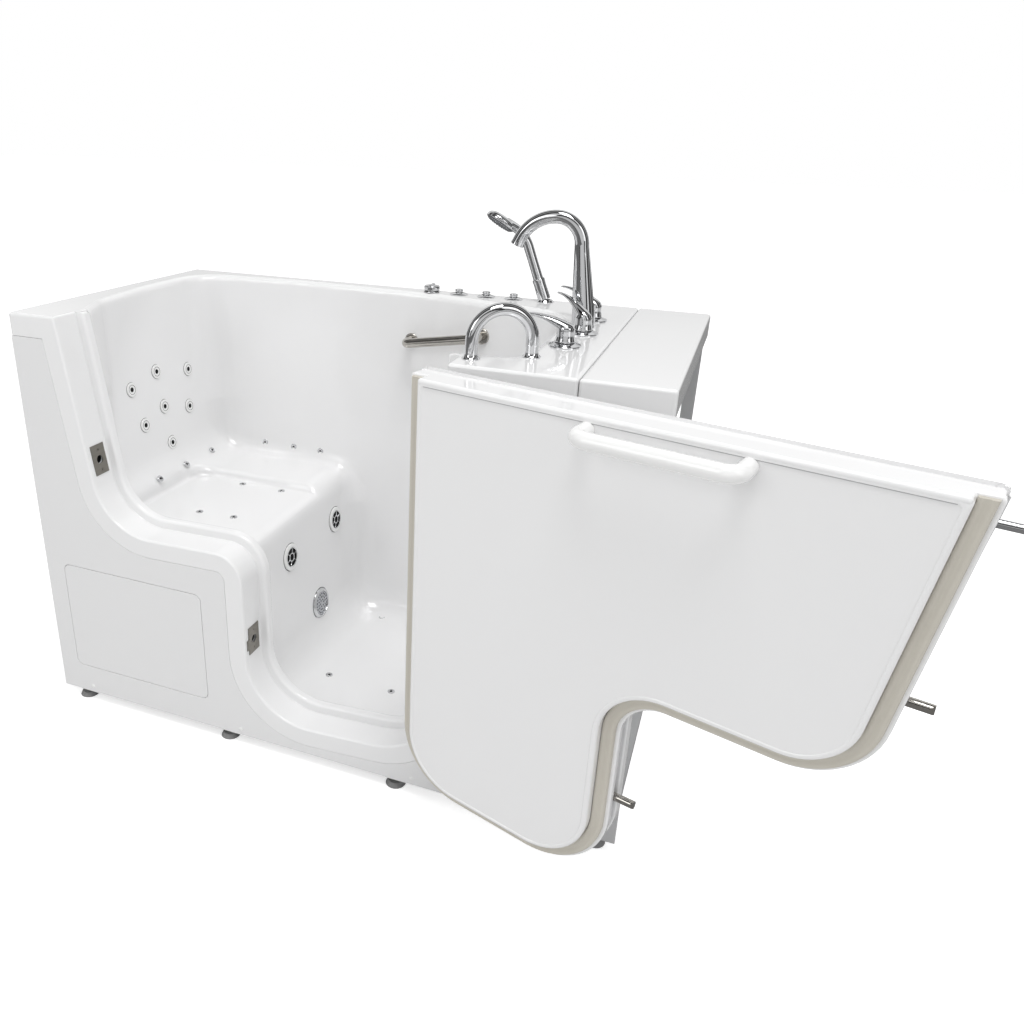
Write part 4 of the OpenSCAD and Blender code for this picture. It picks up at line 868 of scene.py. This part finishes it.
satin = surface("satin_stainless", (0.30, 0.285, 0.255), (0.24, 0.225, 0.20), 20.0, 160.0, 0.22,
                0.22, 0.05, metal=1.0, stretch=(1, 1, 14))
steel = surface("polished_stainless", (0.56, 0.54, 0.50), (0.46, 0.44, 0.41), 14.0, 240.0, 0.09,
                0.12, 0.02, metal=1.0)
screws = []
for name, hole, lean in (("upper", BOLT_HOLES[0], DOOR_SLOPE), ("lower", BOLT_HOLES[1], 0.0)):
    bpy.ops.mesh.primitive_cube_add(size=1)
    plate = bpy.context.object
    plate.scale = (0.002, 0.046, 0.075)
    bpy.ops.object.transform_apply(scale=True)
    apply(plate, "BEVEL", width=0.0007, segments=3)
    lay = Matrix.Translation(at(*hole)) @ Matrix.Rotation(-math.atan(lean), 4, "Y")
    plate.data.transform(lay @ Matrix.Translation((0.001, 0, 0)))
    cut(plate, drill(hole, (1, 0, -lean), 10, 30))
    for z in (-25.5, 25.5):
        spot = (hole[0] - lean * z, BOLT_Y, hole[2] + z)
        cut(plate, drill(spot, (1, 0, -lean), 3.3, 30))
        head = turned("strike_screw", [(0, 0), (3, 0), (3, 1.5), (2.2, 2.0), (0, 1.9)], spot,
                      (1, 0, lean), 24)
        cut(head, block("slot", (spot[0] - 2, BOLT_Y - 0.4, spot[2] - 2.4),
                        (spot[0] + 5, BOLT_Y + 0.4, spot[2] + 2.4)))
        screws.append(head)
    fit(plate, "tub", "stainless", satin, f"strike_plate_{name}", angle=30)
    plate.name = f"strike_{name}"
    # The cup is painted black as the shade inside the bolt's hole.
    cup = turned(f"strike_cup_{name}", [(0, -41), (12.6, -41), (12.6, -5), (11.6, -5), (11.6, -40),
                                        (0, -40)], hole, (1, 0, 0))
    fit(cup, "tub", "pump_plastic", dark)
tab = block("strike_tab", (DOOR_STEP, BOLT_Y - 31, 284), (DOOR_STEP + 2, BOLT_Y - 22, 312), 0.6, 2)
fit(tab, "tub", "stainless", satin)
fit(joined("strike_screw_heads", screws), "tub", "stainless", satin, "strike_screws")

# ---- Grab bars ----------------------------------------------------------------------------------
# Bent steel tubes: a polished one on flanges at the back wall, a chromed loop on the front deck
# whose ends stand in small flared collars.

BAR_R = 12.9
flat_run = Vector((400, -18)).normalized()
bend_run = Vector((405, -94)).normalized()
bar_feet = [Vector((745, 694 - (745 - 800) * 18 / 400, 934)),
            Vector((961, 694 - (961 - 800) * 94 / 405, 975))]
bar_out = [Vector((flat_run.y, -flat_run.x, 0)), Vector((bend_run.y, -bend_run.x, 0))]
grips = [foot + out * 48 for foot, out in zip(bar_feet, bar_out)]
end_run = (grips[1] - grips[0]).normalized()
route = bent_path([bar_feet[0], grips[0], grips[1] + end_run * 0.1], 20, 14)
bar = [sweep("wall_bar_tube", route + [grips[1] + end_run * 12.8], [BAR_R] * (len(route) + 1))]
bar.append(sweep("wall_bar_post", [bar_feet[1] + bar_out[1] * 0.5, grips[1]], [11.9, 11.9]))
for foot, out, wide in zip(bar_feet, bar_out, (20, 22)):
    bar.append(turned("wall_bar_flange", [(0, -1), (wide, -1), (wide, 1.6)]
                      + arc(wide - 3, 1.8, 3, 0, 80) + [(14, 5.2), (0, 5.2)], foot, out, 56))
fit(joined("wall_bar", bar), "tub", "stainless", steel, "wall_grab_bar")

feet = [Vector((1121, 57, TUB_H)), Vector((1226, 124, TUB_H))]
middle, half = (feet[0] + feet[1]) / 2, (feet[1] - feet[0]) / 2
loop = [feet[0]]
for k in range(37):
    turn = math.pi * k / 36
    loop.append(middle + Vector((0, 0, 34)) - half * math.cos(turn)
                + Vector((0, 0, half.length * math.sin(turn))))
loop.append(feet[1])
bars = [sweep("deck_bar_tube", loop, [BAR_R] * len(loop), 48)]
for foot in feet:
    bars.append(turned("deck_bar_collar", [(12.5, 0), (18.4, 0), (18.4, 1.6), (16.4, 3.2), (14.2, 5.4),
                                           (13.6, 8.6), (13.0, 9.4), (12.5, 9.4), (12.5, 0)], foot,
                       UP, 48))
fit(joined("deck_bar", bars), "tub", "chrome", chrome, "deck_grab_bar")

# ---- Taps ---------------------------------------------------------------------------------------
# Cast and chromed: round escutcheons, waisted hubs that sweep up into thin blades, and a tall
# swan-neck spout that narrows from a wide foot to its slanted outlet.

TAPS = [((1265, 250), 180, 82, 62, "handle_hot"), ((1275, 386), 140, 93, 76, "handle_diverter"),
        ((1267, 545), 160, 88, 70, "handle_cold")]
plates = []
for spot, *_ in TAPS:
    plates.append(turned("tap_plate", [(12.2, 0.1), (34.6, 0.1), (34.6, 1.4)]
                         + arc(33, 1.8, 1.6, 0, 90, 3)
                         + [(27, 5.2), (22.6, 7.6), (12.2, 7.8), (12.2, 0.1)], (*spot, TUB_H), UP, 64))
fit(joined("tap_plates", plates), "tub", "chrome", chrome, "tap_escutcheons")
# A dark band in the gap between each escutcheon and its hub: painted shade between the parts.
gaps = [band("tap_gap", 13, 21, 7.5, 8.5, (*spot, TUB_H), UP, 48) for spot, *_ in TAPS]
fit(joined("tap_gap_shade", gaps), "tub", "seal_rubber", crease_shade)


def cast(name, pieces, passes):
    """Pieces melted into one casting, whose corners are rounded by smoothing passes."""
    made = joined(name, pieces)
    apply(made, "REMESH", mode="VOXEL", voxel_size=0.0011)
    apply(made, "SMOOTH", factor=0.6, iterations=passes)
    apply(made, "DECIMATE", ratio=0.35)
    return made


for spot, heading, reach, rise, node in TAPS:
    turn = math.radians(heading)
    way = Vector((math.cos(turn), math.sin(turn), 0))
    base = Vector((*spot, TUB_H))
    hub = turned("hub", [(5.2, 8.4), (21.6, 8.4), (21.9, 10)] + [
        (21.6 - 2.8 * math.sin(math.pi / 2 * k / 6), 12 + 12 * k / 6) for k in range(7)]
        + [(19.2, 32), (18.6, 38), (15, 43), (8, 45), (0, 45.2), (0, 36), (5.2, 36), (5.2, 8.4)],
        base, UP, 48)
    blade, sizes = [], []
    for k in range(17):
        t = k / 16
        wide = 11.6 * (1 - t) ** 1.2 + 7.8
        thick = 13.8 * (1 - t) ** 1.7 + 2.7
        crest = 44.2 + (rise - 43.5) * (1 - (1 - t) ** 2.0) + 3 * math.sin(math.pi * t)
        blade.append(base + way * (-15 + (reach + 23) * t) + Vector((0, 0, crest - thick)))
        close = math.sqrt(max(1 - max((t - 0.9) / 0.1, 0) ** 2, 0.02))
        start = math.sqrt(max(1 - max((0.1 - t) / 0.1, 0) ** 2, 0.06))
        sizes.append((wide * close * start, thick * close * start))
    handle = cast(node + "_lever", [hub, sweep("blade", blade, sizes, 36)], 18)
    fit(handle, node, "chrome", chrome, node, angle=80)

SPOUT_X, SPOUT_Y, SPOUT_H, ARCH_R, NOSE_R = 1260, 466, 239, 60, 93
lean_x, outlet = 19, 156
neck = [(SPOUT_X, SPOUT_Y, TUB_H + h) for h in (0.4, 3, 6, 12)]
neck += [(SPOUT_X - lean_x * k / 10, SPOUT_Y, TUB_H + 12 + (SPOUT_H - ARCH_R - 12) * k / 10)
         for k in range(1, 11)]
for k in range(1, 31):
    turn = math.radians(outlet * k / 30)
    radius = ARCH_R if turn < math.pi / 2 else NOSE_R
    neck.append((SPOUT_X - lean_x - ARCH_R + radius * math.cos(turn), SPOUT_Y,
                 TUB_H + SPOUT_H - radius + radius * math.sin(turn)))
end = math.radians(outlet)
tail = Vector((-math.sin(end), 0, math.cos(end)))
tip = Vector(neck[-1])
neck += [tip + tail * 6, tip + tail * 11.8]
girth = [27.8, 27.6, 27.0, 26.6] + [26.6 - 10.4 * (k / 10) ** 1.1 for k in range(1, 11)]
girth += [16.2 - 1.2 * min(1, k / 12) for k in range(1, 31)] + [15.2, 15.8]
spout = sweep("spout_tube", neck, girth, 56)
mouth = tip + tail * 11
cut(spout, turned("mouth_tool", [(0, -12), (12.6, -12), (13, 4), (0, 4)], mouth, tail))
stud = disc("spout_stud", 9.8, -21, 1, (SPOUT_X, SPOUT_Y, TUB_H), UP, 32)
fit(joined("swan_neck", [spout, stud]), "tub", "chrome", chrome, "spout", angle=45)
# The aerator disc and a ring on the outlet's rim are painted black as the shade inside the spout's
# mouth.
aerator = disc("spout_aerator", 12.4, -9.5, -7.5, mouth, tail)
lip = band("mouth_rim_shade", 12.8, 15.2, 0.4, 1.2, mouth, tail, 48)
fit(joined("spout_mouth_shade", [aerator, lip]), "tub", "pump_plastic", dark)

# ---- Hand shower --------------------------------------------------------------------------------
# A chromed handset that stands in a raked socket on the deck: slim grip, round head, and a dark
# face with rings of small nozzles. It lifts out along its socket.

SHOWER = Vector((1108, 728, TUB_H))
rake = math.radians(21.6)
lean = Vector((-math.sin(rake), 0, math.cos(rake)))
foot_ring = turned("socket_foot", [(12.5, 0), (22.6, 0), (22.8, 1.2), (20.5, 3.6), (18.6, 5.8),
                                   (12.5, 5.8), (12.5, 0)], SHOWER, UP, 56)
sleeve = turned("socket_sleeve", [(12.5, 7), (16.8, 7), (16.4, 24), (15.6, 50), (16.2, 54), (16.2, 60),
                                  (15.2, 61.8), (12.5, 61.8), (12.5, 7)], SHOWER, lean, 56)
fit(joined("shower_socket", [foot_ring, sleeve]), "tub", "chrome", chrome, "hand_shower_holder")

head = SHOWER + Vector((-130, -2, 200))
tilt = math.radians(28)
aside = math.radians(20)
facing = Vector((-math.sin(tilt) * math.cos(aside), -math.sin(aside),
                 -math.cos(tilt) * math.cos(aside)))
along_head = Vector((-math.cos(tilt), 0, math.sin(tilt)))
foot, throat = SHOWER + lean * 12, SHOWER + lean * 150
back_of_head = head - facing * 3
route = [foot + (throat - foot) * k / 8 for k in range(9)]
curve = [throat, throat + lean * 34, back_of_head - along_head * 44, back_of_head - along_head * 10]
for k in range(1, 13):
    t = k / 12
    weights = ((1 - t) ** 3, 3 * t * (1 - t) ** 2, 3 * t * t * (1 - t), t ** 3)
    route.append(sum((w * p for w, p in zip(weights, curve)), Vector((0, 0, 0))))
girth = [12, 12.4, 13.0, 13.2, 13.0, 12.8, 12.8, 13.0, 13.2]
girth += [(13.2 + 14 * (k / 12) ** 1.6, 13.2 - 3.4 * (k / 12)) for k in range(1, 13)]
grip = sweep("shower_grip", route, girth)
bowl = turned("shower_head", [(0, -10.4), (17, -10.0), (29, -7.8), (37, -3.4), (40.6, 2.0),
                              (41.0, 6.0), (40.2, 9.4), (37.6, 11.0), (0, 11.0)], head, facing, 64)
handset = cast("handset", [grip, bowl], 8)
fit(handset, "hand_shower", "chrome", chrome, "hand_shower", angle=80)

rubber = surface("nozzle_rubber", (0.13, 0.135, 0.145), (0.10, 0.10, 0.11), 40.0, 300.0, 0.45,
                 0.15, 0.05)
plate = turned("spray_plate", [(0, 10.6), (36.4, 10.6), (36.4, 11.6), (35.2, 12.4), (0, 12.8)],
               head, facing, 56)
nozzles = []
side_of_head = facing.cross(along_head)
for ring_r, count in ((6, 5), (12.6, 10), (19.2, 16), (25.8, 21), (32, 26)):
    for k in range(count):
        turn = 2 * math.pi * k / count
        spot = head + (along_head * math.cos(turn) + side_of_head * math.sin(turn)) * ring_r
        nozzles.append(turned("nozzle", [(2.3, 12), (1.9, 13.4), (1.1, 13.8), (0, 13.8)], spot,
                              facing, 8))
fit(joined("spray_face", [plate]), "hand_shower", "box_plastic", rubber, "shower_face", angle=50)
fit(joined("spray_nozzles", nozzles), "hand_shower", "box_plastic", plated)

# ---- Drain knob and push buttons ----------------------------------------------------------------
# Chromed controls along the back deck: a low knob that turns to work the drain, and three sprung
# push buttons, each in a domed ring.

KNOB = (791, 724, TUB_H)
ring = turned("knob_seat", [(0, 0.1), (22.6, 0.1), (22.8, 2.2), (21.4, 4.4), (18, 5.0), (4, 5.0),
                            (4, 13), (0, 13)], KNOB, UP, 56)
stem = disc("knob_stem", 10.8, -21, 0.2, KNOB, UP, 32)
fit(joined("knob_ring", [ring, stem]), "tub", "chrome", chrome, "drain_knob_ring")
knob = turned("drain_dial", [(4.1, 5.6), (19.6, 5.6), (20.8, 7.4)] + arc(18.2, 15.4, 2.8, 0, 90, 4)
              + [(13, 18.6), (8, 18.2), (0, 18.1), (0, 14), (4.1, 14), (4.1, 5.6)], KNOB, UP, 64)
ridge_bar = block("dial_grip", (KNOB[0] - 3, KNOB[1] - 16.5, TUB_H + 16.5),
                  (KNOB[0] + 3, KNOB[1] + 16.5, TUB_H + 23), 2.2)
fit(joined("drain_dial_body", [knob, ridge_bar]), "drain_knob", "chrome", chrome, "drain_knob")

domes = []
for place, node in zip(BUTTONS, ("button_left", "button_middle", "button_right")):
    spot = (*place, TUB_H)
    domes.append(turned("button_dome", [(11.4, 0.1), (23.6, 0.1), (23.8, 1.4), (21.8, 3.0), (17.5, 4.6),
                                        (13.2, 5.9), (11.4, 5.9), (11.4, 0.1)], spot, UP, 56))
    cap = turned(node + "_cap", [(0, -5.8), (9.4, -5.8), (9.4, 8.6), (10.6, 10.4), (10.9, 12.2),
                                 (10.2, 13.8), (8.6, 14.4), (6.4, 13.9), (0, 13.6)], spot, UP, 48)
    fit(cap, node, "chrome", chrome, node)
fit(joined("button_domes", domes), "tub", "chrome", chrome, "button_rings")

# ---- Hinges and latch ---------------------------------------------------------------------------
# Stainless strap hinges on the front face, two sliding bolts with bevelled noses, and the lever
# outside that draws them back through a linkage between the mouldings. All keep the frame's shape.


def coat(node, finish):
    """Gives a node of the frame its finish, and leaves its shape alone."""
    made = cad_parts[node]
    for slot in made.material_slots:
        slot.material = finish
    if not made.material_slots:
        made.data.materials.append(finish)


for node in ("hinge_brackets", "hinge_pins", "door_hinge_leaves"):
    coat(node, satin)
coat("bolt_guides", steel)
coat("latch_linkage", steel)
coat("latch_lever", chrome)

# ---- Stand and plumbing -------------------------------------------------------------------------
# Welded square tube on screwed feet, with the pump, blower, heater and control box on a tray
# below the seat. These keep the frame's shape. White caps cover the skirt's screws.

tube_paint = surface("zinc_coated_tube", (0.50, 0.505, 0.51), (0.43, 0.435, 0.44), 7.0, 90.0, 0.4,
                     0.25, 0.12, metal=0.25)
zinc = surface("zinc_plate", (0.42, 0.43, 0.44), (0.33, 0.34, 0.35), 16.0, 80.0, 0.24, 0.3, 0.06,
               metal=0.6)
foot_pad = surface("foot_rubber", (0.27, 0.27, 0.27), (0.22, 0.22, 0.22), 20.0, 300.0, 0.62, 0.2,
                   0.2)
pump_case = surface("pump_casing", (0.02, 0.02, 0.023), (0.032, 0.032, 0.036), 12.0, 420.0, 0.42,
                    0.2, 0.25)
motor_coat = surface("motor_enamel", (0.024, 0.028, 0.036), (0.034, 0.038, 0.048), 9.0, 150.0, 0.3,
                     0.2, 0.15, coat=0.3)
pipe = surface("pipe_plastic", (0.68, 0.68, 0.67), (0.60, 0.60, 0.59), 8.0, 160.0, 0.32, 0.15,
               0.05)
box_case = surface("box_plastic", (0.46, 0.47, 0.48), (0.41, 0.42, 0.43), 8.0, 380.0, 0.45, 0.15,
                   0.25)
brass = surface("cast_brass", (0.50, 0.30, 0.09), (0.36, 0.20, 0.06), 22.0, 200.0, 0.3, 0.3, 0.15,
                metal=1.0)

for nodes, finish in ((("frame_long_rails", "frame_cross_rails", "frame_uprights"), tube_paint),
                      (("door_frame",), tube_paint),
                      (("equipment_tray", "foot_locknuts"), zinc),
                      (("levelling_feet", "centre_foot"), foot_pad),
                      (("water_pump", "air_blower", "button_bodies"), pump_case),
                      (("pump_motor",), motor_coat), (("control_box",), box_case),
                      (("water_manifold", "air_manifold", "waste_pipe"), pipe),
                      (("inline_heater",), satin), (("valve_bodies",), brass)):
    for node in nodes:
        coat(node, finish)

caps = [turned("skirt_cap", [(0, 0), (6, 0), (5.8, 0.8), (4.2, 1.6), (0, 2.0)], (x, 0, 47),
               (0, -1, 0), 32) for x in (97, 568, 1040)]
fit(joined("skirt_caps", caps), "tub", "white_fitting", fitting, "panel_screws")
